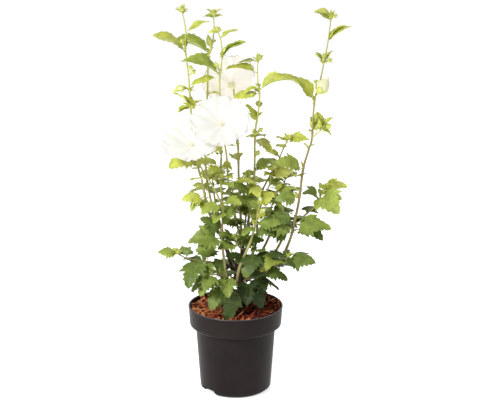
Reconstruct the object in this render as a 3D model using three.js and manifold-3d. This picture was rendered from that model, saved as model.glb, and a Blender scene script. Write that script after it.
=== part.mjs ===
// Rose of sharon, a young flowering shrub in its round nursery pot.
// Millimetres, +Z up. The origin is the middle of the pot's flat underside, and the
// front of the plant faces -Y. Limbs, leafy shoots and flowering twigs grow by the
// rules below from the sizes in the tables TRUNK, BOUGHS, SHOOTS and FLOWERS.

import * as THREE from "three";
import { mergeVertices } from "three/addons/utils/BufferGeometryUtils.js";
import Module from "manifold-3d";

const wasm = await Module();
wasm.setup();

// ---------------------------------------------------------------- driving sizes

const GAP = 0.3; // clear space between two nodes that meet

const POT = {
  height: 175,
  rim: 95, // outer radius of the rim
  lip: 4, // width of the rim's flat edge
  collarFoot: 92, // outer radius where the collar ends
  collarDrop: 38, // height of the collar
  shoulder: 80, // outer radius of the wall under the collar
  shoulderDrop: 46,
  heel: 71, // outer radius just above the foot
  heelRise: 6,
  foot: 64.5, // outer radius of the flat underside
  wall: 2.6,
  floor: 14, // thickness of the base, which closes the drain notches above
  sides: 36,
};

// Drain notches in the foot, with the heading of each in degrees.
const NOTCH = { headings: [12, 114, 216], width: 46, height: 11, depth: 30 };

const SOIL = { level: 166, edge: 163, crown: 26 };

const FLARE_POWER = 9; // the higher, the shorter the root flare

const LEAF = {
  stalk: 0.24, // share of the leaf's length that is its stalk
  stalkFoot: 1.1, // radius of the stalk where it leaves the twig
  stalkTip: 0.75,
  thickness: 0.024, // of the blade's length, at its midrib
  droop: 52, // how far the leaf bends over, in degrees
  oldWidth: 1.0, // blade width, as a share of the outlines below
  youngWidth: 0.56,
  oldBelow: 405, // height up to which leaves are old
  youngAbove: 605, // height from which leaves are young
};

// Half of a blade's outline, from its base to its tip: [along, across], as shares of
// the blade's length.
const OLD_LOBES = [
  [0.1, 0.3],
  [0.38, 0.48],
  [0.58, 0.24],
];
const YOUNG_LOBES = [
  [0.3, 0.46],
  [0.56, 0.26],
];

// Turns and tilts tried in this order until a leaf is clear of everything else.
const NUDGES = [
  [0, 0],
  [0, 13],
  [0, -13],
  [17, 0],
  [-17, 0],
  [24, 18],
  [-24, 18],
  [28, -18],
  [-28, -18],
  [0, 30],
  [0, -30],
];

// Sides of each kind of limb, and rings for each stretch between two points of via.
const LIMBS = {
  trunk: { sides: 9, detail: 2 },
  bough: { sides: 6, detail: 1 },
  stem: { sides: 3, detail: 1 },
};

// How the leaves that no row names are dealt out, in degrees unless it says otherwise.
const FILL = {
  turn: 137.5, // from one leaf to the next, where they stand all round
  stray: 40, // on top of that turn
  back: [58, 122], // headings, where they stand to the back only
  rise: 18,
  fall: 44, // greatest drop below that rise, at the foot of the shoot
  calm: 0.6, // share of that drop that is lost by the shoot's tip
  size: [0.9, 1.1], // shares of the row's length
  roll: 20,
};

const BUD = {
  sides: 4,
  steps: 2,
  waist: 0.36, // greatest radius, of the bud's length
  neck: 1.0, // radius of the stalk
  blunt: 0.85, // below 1 the belly sits lower
  ends: 0.03, // share of the egg that is cut off at both ends
};

// Shares of the open flower's radius, unless they say otherwise.
const CALYX = { length: 0.42, foot: 3, tip: 0.15, sides: 7, steps: 3 }; // foot in mm
const COLUMN = { length: 0.42, radii: [3.4, 3], sides: 6, steps: 3 }; // radii in mm
const PETAL = {
  count: 5,
  seat: 0.8, // height of the petals' foot, of the calyx
  turn: 0.15, // of the angle between petals, from level to the first petal
  throat: 0.06,
  length: 0.94,
  round: 0.16, // how far the far edge draws in at its corners
  width: 0.58,
  narrow: 0.08, // where the petal starts on the half wave that gives its width
  full: 0.6, // how much of that half wave it takes
  cup: 0.34,
  overlap: 0.07, // rise of one side edge over the next petal
  ruffle: 0.07,
  ruffles: 1.5, // waves from side edge to side edge
  lean: 0.5, // how far the thickness leans back from the flower's axis
  thickness: 1.6, // mm
  rows: 4,
  columns: 2,
};

// ---------------------------------------------------------------- the plant

// Every limb has its radii at foot and tip, and the points that it passes through.
const TRUNK = {
  radii: [7.6, 6.2],
  flare: 5.5,
  via: [[10, 0, SOIL.level + GAP], [10.5, 0, 195], [12, 0, 230], [13, 1, 263]],
};

// A bough's first point lies inside the limb that it leaves.
const BOUGHS = {
  bough_front_left: {
    from: "trunk",
    radii: [3, 2.4],
    via: [[10, 0, 191], [-6, -20, 215], [-18, -32, 245], [-23, -32, 281], [-28, -30, 321]],
  },
  bough_left: {
    from: "trunk",
    radii: [3.3, 2.4],
    via: [[12, 0, 245], [-5, 1, 267], [-27, 0, 313], [-49, 0, 358], [-58, 0, 383]],
  },
  bough_left_back: {
    from: "bough_left",
    radii: [2.6, 2.2],
    via: [[-24, 0, 306], [-36, 16, 327], [-43, 28, 350], [-52, 30, 397]],
  },
  bough_middle: {
    from: "trunk",
    radii: [2.9, 2.4],
    via: [[12.5, 0, 255], [17, -9, 289], [4, -4, 339], [-7, 2, 381]],
  },
  bough_back: {
    from: "trunk",
    radii: [3.1, 2.4],
    via: [[12.5, 0, 249], [12, 17, 280], [11, 24, 330], [8, 28, 395]],
  },
  bough_inner_right: {
    from: "trunk",
    radii: [2.9, 2.4],
    via: [[13, 0, 257], [22, 3, 295], [25, 5, 345], [31, 9, 389]],
  },
  bough_right: {
    from: "trunk",
    radii: [3.8, 2.7],
    via: [[11.5, 0, 225], [32, -6, 234], [60, -15, 251], [88, -24, 275], [103, -26, 307], [111, -25, 331]],
  },
  bough_low_right: {
    from: "bough_right",
    radii: [3, 2.2],
    via: [[58, -14, 250], [74, 4, 273], [92, 14, 305], [112, 20, 333], [133, 20, 351]],
  },
  bough_front: {
    from: "trunk",
    radii: [3.2, 2.2],
    via: [[10, 0, 201], [3, -22, 227], [8, -40, 267], [28, -48, 319], [37, -46, 349]],
  },
  bough_back_right: {
    from: "trunk",
    radii: [3.4, 2.3],
    via: [[12.5, 0, 241], [30, 24, 263], [43, 42, 303], [42, 45, 349]],
  },
  bough_side_left: {
    from: "trunk",
    radii: [2.6, 1.9],
    via: [[12, 0, 251], [-18, -13, 262], [-38, -20, 268], [-52, -22, 272]],
  },
  bough_rear_left: {
    from: "trunk",
    radii: [3.4, 2.2],
    via: [[10.5, 0, 210], [-8, 34, 245], [-26, 62, 295], [-34, 76, 335]],
  },
  bough_rear_right: {
    from: "trunk",
    radii: [3.4, 2.2],
    via: [[11, 0, 217], [34, 34, 245], [62, 60, 285], [78, 74, 323]],
  },
};

// A shoot grows on from the tip of its bough, or from inside the limb that it leaves.
// leaves: [place along the shoot, heading, rise, length, roll]
// buds: [place, heading, rise, stalk, length]
// A place of 2.5 is halfway between the third and fourth points of via. A heading of 0
// points right, 90 to the back, 180 left and 270 to the front.
const SHOOTS = {
  foliage_front_left: {
    onTipOf: "bough_front_left",
    radii: [2.4, 1.1],
    via: [[-28, -30, 321], [-26, -27, 350], [-25, -25, 383], [-30, -18, 446], [-28, -8, 491],
      [-31, 0, 613], [-30, -4, 649], [-26, -8, 681], [-28, -10, 713], [-34, -10, 731]],
    leaves: [
      [0.05, 192, -4, 68, 40],
      [0.1, 213, -18, 60, 20],
      [0.35, 172, 36, 54, 30],
      [0.5, 300, -20, 34, 0],
      [1.8, 248, -13, 46, 0],
      [2.8, 308, -5, 40, 0],
      [3.5, 222, -16, 30, 30],
      [3.6, 330, -18, 28, -20],
      [4.15, 231, -17, 48, 20],
      [5.9, 184, 19, 82, 18],
      [7.0, 352, 32, 58, -20],
      [8.2, 0, 26, 38, -20],
      [8.8, 182, 0, 22, 20],
    ],
    buds: [[6.1, 200, 62, 10, 12], [7.1, 20, 60, 8, 13], [9, 180, 35, 3, 9]],
    fill: { seed: 11, count: 4, from: 2.4, to: 7, length: [38, 28] },
  },
  foliage_left: {
    onTipOf: "bough_left",
    radii: [2.4, 1.1],
    via: [[-58, 0, 383], [-62, 0, 409], [-67, 0, 436], [-74, 0, 463], [-87, 5, 572], [-91, 5, 636],
      [-97, 5, 695], [-96, 5, 729], [-102, 5, 767]],
    leaves: [
      [0.6, 188, -4, 48, 35],
      [0.7, 214, -40, 42, 0],
      [0.3, 262, -30, 34, 0],
      [2.9, 203, 22, 42, 20],
      [3.2, 207, -14, 64, 40],
      [4.05, 190, -16, 26, 20],
      [4.1, 330, -20, 28, -20],
      [4.7, 182, -22, 38, 30],
      [4.75, 356, 18, 56, -22],
      [5.85, 181, 27, 76, 18],
      [6.9, 358, 26, 54, -20],
      [7.9, 165, 30, 18, 0],
      [7.9, 350, 40, 16, 0],
    ],
    buds: [[4.65, 205, 10, 10, 15], [5.1, 5, 40, 7, 12], [5.2, 330, 62, 8, 10], [6.05, 170, 62, 8, 12],
      [8, 80, 80, 3, 9]],
    fill: { seed: 23, count: 4, from: 1.2, to: 6.2, length: [38, 28] },
  },
  foliage_left_back: {
    onTipOf: "bough_left_back",
    radii: [2.1, 1.1],
    via: [[-52, 30, 397], [-59, 30, 445], [-60, 32, 525], [-55, 35, 610], [-54, 35, 668],
      [-47, 35, 691], [-42, 35, 727], [-43, 35, 755]],
    leaves: [
      [0.2, 160, -20, 46, 0],
      [1.15, 186, 10, 60, 35],
      [2.4, 150, 10, 44, 0],
      [4.5, 184, 20, 76, 18],
      [6.8, 182, 8, 22, 20],
      [6.85, 5, 14, 19, -20],
    ],
    buds: [[4.95, 175, 76, 6, 24], [7, 60, 62, 3, 11], [6.9, 140, 50, 5, 9]],
    fill: { seed: 31, count: 5, from: 0.5, to: 5.2, length: [44, 30] },
  },
  foliage_inner_right: {
    onTipOf: "bough_inner_right",
    radii: [2.3, 1.1],
    via: [[31, 9, 389], [37, 10, 444], [38, 10, 523], [44, 10, 567], [47, 10, 604],
      [43.5, 10, 626], [42.5, 10, 655], [44, 10, 671]],
    leaves: [
      [0.3, 209, 30, 50, 30],
      [0.2, 285, -30, 42, 0],
      [0.45, 262, 56, 24, 0],
      [1.05, 8, 28, 50, -20],
      [1.9, 318, -28, 50, -10],
      [1.95, 200, 0, 20, 20],
      [2.5, 168, 58, 42, 20],
      [2.75, 20, 40, 18, 0],
      [4.05, 190, -8, 58, 22],
      [4.35, 356, 16, 72, -18],
      [4.6, 196, -20, 32, 20],
      [5.7, 184, 8, 62, 18],
      [6.8, 178, -4, 38, 10],
    ],
    buds: [[1.4, 330, 60, 8, 13], [1.95, 100, 60, 6, 11], [2.05, 350, 35, 8, 12], [4.55, 215, -35, 16, 11],
      [7, 350, 70, 3, 10]],
    fill: { seed: 43, count: 4, from: 0.6, to: 4.5, length: [42, 28] },
  },
  foliage_right: {
    onTipOf: "bough_right",
    radii: [2.6, 1.1],
    via: [[111, -25, 331], [124, -20, 395], [132, -15, 459], [143, -10, 499], [149, -10, 522],
      [153, -5, 593], [164, 0, 635], [171, 0, 671], [177.5, 0, 707], [183, 0, 755]],
    leaves: [
      [0.1, 347, 6, 78, -30],
      [0.05, 342, -11, 64, -20],
      [0.12, 200, 14, 76, 35],
      [0.02, 184, -6, 56, 20],
      [0.25, 45, 10, 42, 0],
      [0.5, 186, 4, 56, 40],
      [1.12, 190, -2, 50, 40],
      [1.3, 176, 12, 22, 0],
      [2.02, 205, 16, 66, 40],
      [4.2, 176, 24, 14, 0],
      [5.0, 182, 25, 88, 18],
      [6.8, 152, 44, 30, 0],
      [6.9, 28, 48, 32, 0],
      [8.1, 2, 31, 54, -20],
      [9, 178, 22, 36, 20],
    ],
    buds: [[1.05, 150, 60, 6, 12], [5.15, 352, 58, 9, 34], [7, 100, 76, 5, 13], [6.9, 350, 30, 9, 11],
      [9, 350, 40, 4, 11], [8.95, 60, 66, 3, 9]],
    fill: { seed: 59, count: 6, from: 0.4, to: 7, length: [44, 26] },
  },
  foliage_right_side: {
    from: "foliage_right",
    radii: [1.5, 1],
    via: [[149, -10, 522], [158, -13, 531], [171, -15, 542]],
    leaves: [
      [1.5, 155, 62, 40, 0],
      [1.9, 22, 42, 32, 0],
      [1.8, 320, -20, 24, 0],
    ],
    buds: [[2, 350, 26, 4, 14], [1.9, 200, 50, 5, 10], [1.6, 330, 60, 6, 9]],
  },
  foliage_low_right: {
    onTipOf: "bough_low_right",
    radii: [2.1, 1.2],
    via: [[133, 20, 351], [155, 20, 372], [166, 20, 389], [176, 20, 410]],
    leaves: [
      [2.0, 220, 22, 50, 30],
      [2.2, 297, -11, 78, -35],
      [2.6, 340, -14, 42, -30],
      [2.9, 5, 6, 48, 66],
      [2.2, 60, 0, 44, 0],
    ],
    buds: [[3, 350, 50, 5, 13], [2.95, 170, 50, 5, 11], [2.7, 20, 30, 9, 12]],
    fill: { seed: 67, count: 2, from: 0.4, to: 2.4, length: [46, 36] },
  },
  foliage_front: {
    onTipOf: "bough_front",
    radii: [2.1, 1.2],
    via: [[37, -46, 349], [41, -45, 365], [44, -43, 381], [48, -40, 396]],
    leaves: [
      [0.1, 336, -18, 44, -20],
      [0.5, 350, 4, 52, -30],
      [0.9, 180, 32, 16, 0],
      [0.2, 233, -14, 42, 0],
      [1.9, 20, 10, 30, -20],
    ],
    buds: [[3, 280, 70, 3, 13], [1.5, 340, 45, 8, 12]],
  },
  foliage_centre_right: {
    from: "bough_inner_right",
    radii: [1.9, 1.2],
    via: [[25, 4, 337], [44, 6, 367], [60, 10, 403], [70, 13, 432], [72, 14, 451]],
    leaves: [
      [1.3, 250, -34, 48, 0],
      [1.7, 330, -24, 48, 0],
      [2.3, 262, -38, 44, 0],
      [3.0, 2, 15, 54, -15],
      [3.2, 242, 17, 34, 20],
      [2.4, 40, 10, 44, 0],
    ],
    buds: [[4, 0, 60, 3, 12], [3.9, 200, 50, 4, 10]],
    fill: { seed: 73, count: 2, from: 1, to: 3, length: [46, 38] },
  },
  foliage_mid_right: {
    from: "bough_back_right",
    radii: [1.9, 1.2],
    via: [[43, 44, 309], [57, 32, 335], [66, 22, 357], [74, 14, 383], [84, 8, 413]],
    leaves: [
      [1.2, 338, -12, 52, -30],
      [2.2, 352, 6, 50, -30],
      [3.6, 350, 25, 44, -30],
    ],
    buds: [[4, 350, 62, 3, 13]],
    fill: { seed: 79, count: 3, from: 0.6, to: 3, length: [48, 38] },
  },
  foliage_back_right: {
    onTipOf: "bough_back_right",
    radii: [2.2, 1.1],
    via: [[42, 45, 349], [50, 46, 389], [64, 44, 423], [80, 40, 450], [92, 40, 481], [103, 40, 505]],
    leaves: [
      [0.3, 120, -10, 50, 0],
      [1.4, 150, 0, 46, 0],
      [2.5, 60, 6, 48, 0],
      [3.6, 160, 18, 34, 10],
      [4.8, 356, 6, 48, -25],
      [4.9, 172, 20, 24, 10],
    ],
    buds: [[5, 0, 60, 3, 12], [4.9, 120, 60, 4, 10]],
    fill: { seed: 83, count: 4, from: 0.6, to: 4.2, length: [48, 32] },
  },
  foliage_side_left: {
    onTipOf: "bough_side_left",
    radii: [1.8, 1.2],
    via: [[-52, -22, 272], [-76, -25, 276], [-96, -27, 281], [-114, -30, 291]],
    leaves: [
      [0.5, 240, -36, 70, 0],
      [0.3, 269, -35, 50, 0],
      [0.1, 200, -20, 52, 20],
      [0.9, 120, -12, 54, 0],
      [2.1, 60, 48, 26, 0],
      [2.85, 184, 8, 44, 25],
    ],
    buds: [[3, 160, 50, 3, 13], [2.7, 120, 30, 6, 11]],
    fill: { seed: 89, count: 2, from: 0.4, to: 2, length: [52, 44] },
  },
  foliage_over_rim_left: {
    from: "bough_front_left",
    radii: [1.8, 1.2],
    via: [[-17, -31, 243], [-34, -42, 252], [-50, -50, 255]],
    leaves: [
      [0.35, 281, -35, 54, 0],
      [0.9, 215, -38, 58, 10],
      [1.6, 252, -32, 54, 0],
      [1.9, 196, -40, 52, 20],
      [0.7, 120, 34, 38, 0],
      [1.7, 250, -10, 48, 10],
    ],
  },
  foliage_over_rim_front: {
    from: "trunk",
    radii: [1.9, 1.2],
    via: [[10, 0, 209], [-4, -28, 229], [-18, -48, 235]],
    leaves: [
      [1.9, 221, -35, 62, 10],
      [1.95, 268, -50, 74, 40],
    ],
  },
  foliage_over_rim_right: {
    from: "trunk",
    radii: [1.9, 1.2],
    via: [[11, 0, 223], [34, -24, 241], [54, -34, 255]],
    leaves: [
      [0.45, 271, -45, 58, 0],
      [0.6, 318, -58, 66, -10],
      [0.9, 302, -23, 50, -10],
      [1.4, 297, -30, 44, 0],
      [1.9, 350, -16, 54, -20],
      [1.7, 262, 4, 46, 0],
    ],
  },
  foliage_heart: {
    from: "trunk",
    radii: [1.8, 1.2],
    via: [[12.5, 0, 247], [26, -18, 275], [36, -30, 297]],
    leaves: [
      [1.5, 219, -40, 48, 0],
      [1.9, 263, -33, 58, 0],
      [1.7, 330, -18, 52, -20],
      [1.0, 200, 10, 48, 20],
      [1.95, 300, 16, 46, 0],
    ],
  },
  foliage_right_arm: {
    from: "bough_right",
    radii: [1.9, 1.2],
    via: [[86, -23, 273], [95, -36, 282], [104, -46, 291]],
    leaves: [
      [0.9, 234, -20, 62, 10],
      [1.5, 330, -1, 66, -30],
      [1.3, 160, 20, 36, 0],
      [1.9, 301, -30, 42, 0],
      [1.7, 210, 12, 46, 20],
    ],
    fill: { seed: 107, count: 2, from: 0.8, to: 1.8, length: [40, 50] },
  },
  foliage_centre: {
    from: "bough_middle",
    radii: [1.8, 1.2],
    via: [[16, -8, 293], [6, -30, 307], [-2, -44, 327]],
    leaves: [
      [0.9, 336, -4, 52, -20],
      [1.9, 328, 45, 46, -20],
      [1.4, 25, 32, 46, 0],
      [1.8, 210, 10, 42, 20],
      [1.2, 190, -20, 48, 20],
    ],
    buds: [[2, 270, 60, 3, 11]],
  },
  foliage_rear_left: {
    onTipOf: "bough_rear_left",
    radii: [2.1, 1.2],
    via: [[-34, 76, 335], [-42, 86, 369], [-46, 92, 401], [-50, 96, 429]],
    fill: { seed: 113, count: 9, from: 0.1, to: 2.9, length: [64, 40], round: true },
  },
  foliage_rear_right: {
    onTipOf: "bough_rear_right",
    radii: [2.1, 1.2],
    via: [[78, 74, 323], [90, 82, 355], [97, 87, 385], [101, 92, 413]],
    fill: { seed: 127, count: 9, from: 0.1, to: 2.9, length: [64, 40], round: true },
  },
  foliage_rear: {
    from: "trunk",
    radii: [2.6, 1.3],
    via: [[11, 0, 205], [8, 30, 231], [12, 56, 273], [20, 78, 327], [24, 88, 377], [24, 94, 415]],
    fill: { seed: 131, count: 12, from: 1, to: 4.9, length: [66, 40], round: true },
  },
  foliage_over_rim_back: {
    from: "trunk",
    radii: [1.9, 1.2],
    via: [[10, 0, 203], [-6, 26, 221], [-26, 46, 233], [-44, 58, 237]],
    fill: { seed: 137, count: 6, from: 0.8, to: 2.9, length: [64, 54], round: true },
  },
  foliage_over_rim_back_right: {
    from: "trunk",
    radii: [1.9, 1.2],
    via: [[11, 0, 207], [28, 24, 221], [50, 42, 231], [70, 52, 235]],
    fill: { seed: 139, count: 6, from: 0.8, to: 2.9, length: [64, 54], round: true },
  },
};

// A flowering twig carries one open flower. face: heading and rise of the flower's
// axis, radius: of the open flower.
const FLOWERS = {
  flowering_twig_left: {
    from: "foliage_front_left",
    radii: [1.8, 1.5],
    via: [[-25, -25, 385], [-36, -33, 413], [-50, -35, 441], [-68, -32, 469], [-84, -24, 495]],
    face: [260, 58],
    radius: 56,
  },
  flowering_twig_middle: {
    onTipOf: "bough_middle",
    radii: [2.4, 1.6],
    via: [[-7, 2, 381], [-15, 0, 436], [-18, -9, 489], [-27, -20, 539]],
    face: [264, 45],
    radius: 59,
    leaves: [[0.35, 328, -25, 54, 0], [1.2, 350, 0, 18, 0]],
  },
  flowering_twig_back: {
    onTipOf: "bough_back",
    radii: [2.4, 1.6],
    via: [[8, 28, 395], [6, 30, 435], [5, 32, 494], [0, 34, 565], [-4, 30, 611]],
    face: [108, 24],
    radius: 56,
    leaves: [[2.0, 200, 5, 22, 0], [0.6, 60, 0, 46, 0], [1.5, 110, 6, 46, 0], [2.6, 80, 10, 40, 0]],
  },
};

// ---------------------------------------------------------------- solids

/** Gives a closed geometry one vertex per place, and drops triangles with no area. */
function welded(geometry) {
  const bare = geometry.clone();
  bare.deleteAttribute("normal");
  bare.deleteAttribute("uv");
  const merged = mergeVertices(bare, 1e-4);
  const index = [...merged.index.array];
  const kept = [];
  for (let i = 0; i < index.length; i += 3) {
    const [a, b, c] = index.slice(i, i + 3);
    if (a !== b && b !== c && c !== a) kept.push(a, b, c);
  }
  merged.setIndex(kept);
  return merged;
}

/** Makes a solid that can be joined and cut from a closed geometry. */
function solidOf(geometry) {
  const merged = welded(geometry);
  const mesh = new wasm.Mesh({
    numProp: 3,
    vertProperties: new Float32Array(merged.attributes.position.array),
    triVerts: new Uint32Array(merged.index.array),
  });
  return new wasm.Manifold(mesh);
}

/** Turns a solid back into a geometry with its faces' own normals. */
function geometryOf(solid) {
  const mesh = solid.getMesh();
  const geometry = new THREE.BufferGeometry();
  geometry.setAttribute("position", new THREE.BufferAttribute(mesh.vertProperties, 3));
  geometry.setIndex(new THREE.BufferAttribute(mesh.triVerts, 1));
  geometry.computeVertexNormals();
  return geometry;
}

/** Joins solids into one. */
function joined(solids) {
  return solids.reduce((whole, solid) => whole.add(solid));
}

/** Turns flat lists of points and triangles into a geometry. */
function meshOf(points, triangles) {
  const geometry = new THREE.BufferGeometry().setFromPoints(points);
  geometry.setIndex(triangles);
  return geometry;
}

// ---------------------------------------------------------------- small tools

const radians = THREE.MathUtils.degToRad;

/** Numbers from 0 to 1 that are the same each time for one seed. */
function randomFrom(seed) {
  let state = seed;
  return () => {
    state = (state * 1664525 + 1013904223) % 4294967296;
    return state / 4294967296;
  };
}

/** The smooth line of a limb through its points. */
function lineThrough(via) {
  const points = via.map((place) => new THREE.Vector3(...place));
  return new THREE.CatmullRomCurve3(points, false, "catmullrom", 0.5);
}

/** The place on a limb, counted in points of via. */
function pointAt(via, place) {
  return lineThrough(via).getPoint(place / (via.length - 1));
}

/** Unit vector with a heading round +Z and a rise above the level, in degrees. */
function directionOf(heading, rise) {
  const level = Math.cos(radians(rise));
  const turn = radians(heading);
  return new THREE.Vector3(
    level * Math.cos(turn),
    level * Math.sin(turn),
    Math.sin(radians(rise)),
  );
}

// ---------------------------------------------------------------- limbs

/** A round limb turned straight on its axis, from radius(0) to radius(1). */
function straightLimb(length, radius, sides, steps) {
  const profile = [new THREE.Vector2(0, 0)];
  for (let k = 0; k <= steps; k += 1) {
    profile.push(new THREE.Vector2(radius(k / steps), (length * k) / steps));
  }
  profile.push(new THREE.Vector2(0, length));
  return new THREE.LatheGeometry(profile, sides);
}

/** Where a limb's first side points, as far as its line lets it. */
const FIRST_SIDE = new THREE.Vector3(1, 0.3, 0);

/** Bends a straight limb along a line, with a frame carried along without twist. */
function bentAlong(geometry, line, length, steps) {
  const rings = [];
  let side = FIRST_SIDE;
  for (let k = 0; k <= steps; k += 1) {
    const ahead = line.getTangent(k / steps);
    side = side.clone().addScaledVector(ahead, -side.dot(ahead)).normalize();
    const across = new THREE.Vector3().crossVectors(side, ahead);
    rings.push({ middle: line.getPoint(k / steps), side, across });
  }
  const position = geometry.attributes.position;
  for (let i = 0; i < position.count; i += 1) {
    const ring = rings[Math.round((position.getY(i) / length) * steps)];
    const place = ring.middle
      .clone()
      .addScaledVector(ring.side, position.getX(i))
      .addScaledVector(ring.across, position.getZ(i));
    position.setXYZ(i, place.x, place.y, place.z);
  }
  return geometry;
}

/** A limb along a line, tapering from foot to tip, with a flare at the foot. */
function limb({ line, radii: [foot, tip], flare = 0, sides, steps, spare = 0 }) {
  const length = line.getLength();
  const radius = (t) => foot + (tip - foot) * t + flare * (1 - t) ** FLARE_POWER + spare;
  const straight = straightLimb(length, radius, sides, steps);
  return solidOf(bentAlong(straight, line, length, steps));
}

// ---------------------------------------------------------------- leaves

/** How young a leaf at this height is, from 0 to 1. */
function youthAt(height) {
  const share = (height - LEAF.oldBelow) / (LEAF.youngAbove - LEAF.oldBelow);
  return Math.min(1, Math.max(0, share));
}

/** Places points of a leaf that bends over evenly, with its tip length away. */
function leafFrame(foot, { heading, rise, length, roll }) {
  const droop = radians(LEAF.droop);
  const arc = (length * droop) / 2 / Math.sin(droop / 2);
  const turn = new THREE.Matrix4()
    .makeRotationZ(radians(heading))
    .multiply(new THREE.Matrix4().makeRotationY(-radians(rise)))
    .multiply(new THREE.Matrix4().makeRotationX(-radians(roll)));
  const place = (share, across, lift) => {
    const slope = droop * (0.5 - share);
    const ahead = (arc / droop) * (Math.sin(droop / 2) - Math.sin(slope));
    const up = (arc / droop) * (Math.cos(slope) - Math.cos(droop / 2));
    const point = new THREE.Vector3(
      ahead - lift * Math.sin(slope),
      across,
      up + lift * Math.cos(slope),
    );
    return point.applyMatrix4(turn).add(foot);
  };
  return { place, arc };
}

/** Half width and thickness of a leaf at each station from its foot, without its tip. */
function leafStations(arc, youth, spare) {
  const size = arc * (1 - LEAF.stalk);
  const width = LEAF.oldWidth + (LEAF.youngWidth - LEAF.oldWidth) * youth;
  const stations = [
    { share: 0, out: LEAF.stalkFoot, lift: LEAF.stalkFoot },
    { share: LEAF.stalk, out: LEAF.stalkTip, lift: LEAF.stalkTip },
  ];
  for (const [along, across] of youth > 0.5 ? YOUNG_LOBES : OLD_LOBES) {
    const share = LEAF.stalk + (1 - LEAF.stalk) * along;
    stations.push({ share, out: size * across * width, lift: size * LEAF.thickness });
  }
  return stations.map(({ share, out, lift }) => ({ share, out: out + spare, lift: lift + spare }));
}

/** One leaf, closed and three sided: a slim stalk that widens into a lobed blade. */
function leaf(foot, pose, spare = 0) {
  const frame = leafFrame(foot, pose);
  const stations = leafStations(frame.arc, youthAt(foot.z), spare);
  const points = [frame.place(1, 0, 0)];
  for (const { share, out, lift } of stations) {
    points.push(frame.place(share, 0, lift));
    points.push(frame.place(share, -out, -spare));
    points.push(frame.place(share, out, -spare));
  }
  const at = (ring, corner) => 1 + 3 * ring + (corner % 3);
  const last = stations.length - 1;
  const triangles = [at(0, 0), at(0, 2), at(0, 1)];
  for (let corner = 0; corner < 3; corner += 1) {
    for (let ring = 0; ring < last; ring += 1) {
      const [a, b] = [at(ring, corner), at(ring, corner + 1)];
      const [d, e] = [at(ring + 1, corner), at(ring + 1, corner + 1)];
      triangles.push(a, b, e, a, e, d);
    }
    triangles.push(at(last, corner), at(last, corner + 1), 0);
  }
  return solidOf(meshOf(points, triangles));
}

// ---------------------------------------------------------------- buds and flowers

/** An egg shaped bud on its stalk, with the stalk sunk into the twig. */
function bud(foot, [, heading, rise, stalk, length]) {
  const ahead = directionOf(heading, rise);
  const swell = (t) => {
    const share = (t * (stalk + length) - stalk) / length;
    if (share < 0) return BUD.neck;
    const place = Math.min(1 - BUD.ends, share ** BUD.blunt + BUD.ends);
    return Math.max(BUD.neck, length * BUD.waist * Math.sin(Math.PI * place));
  };
  const top = foot.clone().addScaledVector(ahead, stalk + length);
  const middle = foot.clone().lerp(top, 0.5);
  const line = new THREE.CatmullRomCurve3([foot, middle, top]);
  const straight = straightLimb(stalk + length, swell, BUD.sides, BUD.steps);
  return solidOf(bentAlong(straight, line, stalk + length, BUD.steps));
}

/** A thin closed shell over a grid of points, with both faces meeting at its edge. */
function shell(rows, columns, place, thickness) {
  const points = [];
  const front = [];
  const back = [];
  for (let r = 0; r <= rows; r += 1) {
    for (let c = 0; c <= columns; c += 1) {
      const edge = r === 0 || r === rows || c === 0 || c === columns;
      const [middle, normal] = place(r / rows, (2 * c) / columns - 1);
      front.push(points.length);
      points.push(middle.clone().addScaledVector(normal, edge ? 0 : thickness / 2));
      back.push(edge ? front.at(-1) : points.length);
      if (!edge) points.push(middle.clone().addScaledVector(normal, -thickness / 2));
    }
  }
  const triangles = [];
  for (let r = 0; r < rows; r += 1) {
    for (let c = 0; c < columns; c += 1) {
      const corner = r * (columns + 1) + c;
      const [a, b, d, e] = [corner, corner + 1, corner + columns + 1, corner + columns + 2];
      triangles.push(front[a], front[e], front[b], front[a], front[d], front[e]);
      triangles.push(back[a], back[b], back[e], back[a], back[e], back[d]);
    }
  }
  return solidOf(meshOf(points, triangles));
}

/** Axes of a flower that faces along a direction: ahead, right and up. */
function flowerAxes([heading, rise]) {
  const ahead = directionOf(heading, rise);
  const right = new THREE.Vector3(0, 0, 1).cross(ahead).normalize();
  const up = new THREE.Vector3().crossVectors(ahead, right);
  return { ahead, right, up };
}

/** One broad petal that rises from the flower's throat and opens out to its edge. */
function petal(centre, axes, radius, number) {
  const turn = (2 * Math.PI * (number + PETAL.turn)) / PETAL.count;
  const out = axes.right
    .clone()
    .multiplyScalar(Math.cos(turn))
    .addScaledVector(axes.up, Math.sin(turn));
  const along = new THREE.Vector3().crossVectors(axes.ahead, out);
  const normal = axes.ahead.clone().addScaledVector(out, -PETAL.lean).normalize();
  const place = (share, side) => {
    const reach = PETAL.throat + PETAL.length * share - PETAL.round * share * side ** 2;
    const spread = PETAL.width * Math.sin(Math.PI * (PETAL.narrow + PETAL.full * share)) * side;
    const rise = PETAL.cup * (1 - (1 - share) ** 2) + PETAL.overlap * side;
    const wave = PETAL.ruffle * share * Math.cos(2 * Math.PI * PETAL.ruffles * side + number);
    const middle = centre
      .clone()
      .addScaledVector(out, radius * reach)
      .addScaledVector(along, radius * spread)
      .addScaledVector(axes.ahead, radius * (rise + wave));
    return [middle, normal];
  };
  return shell(PETAL.rows, PETAL.columns, place, PETAL.thickness);
}

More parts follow.
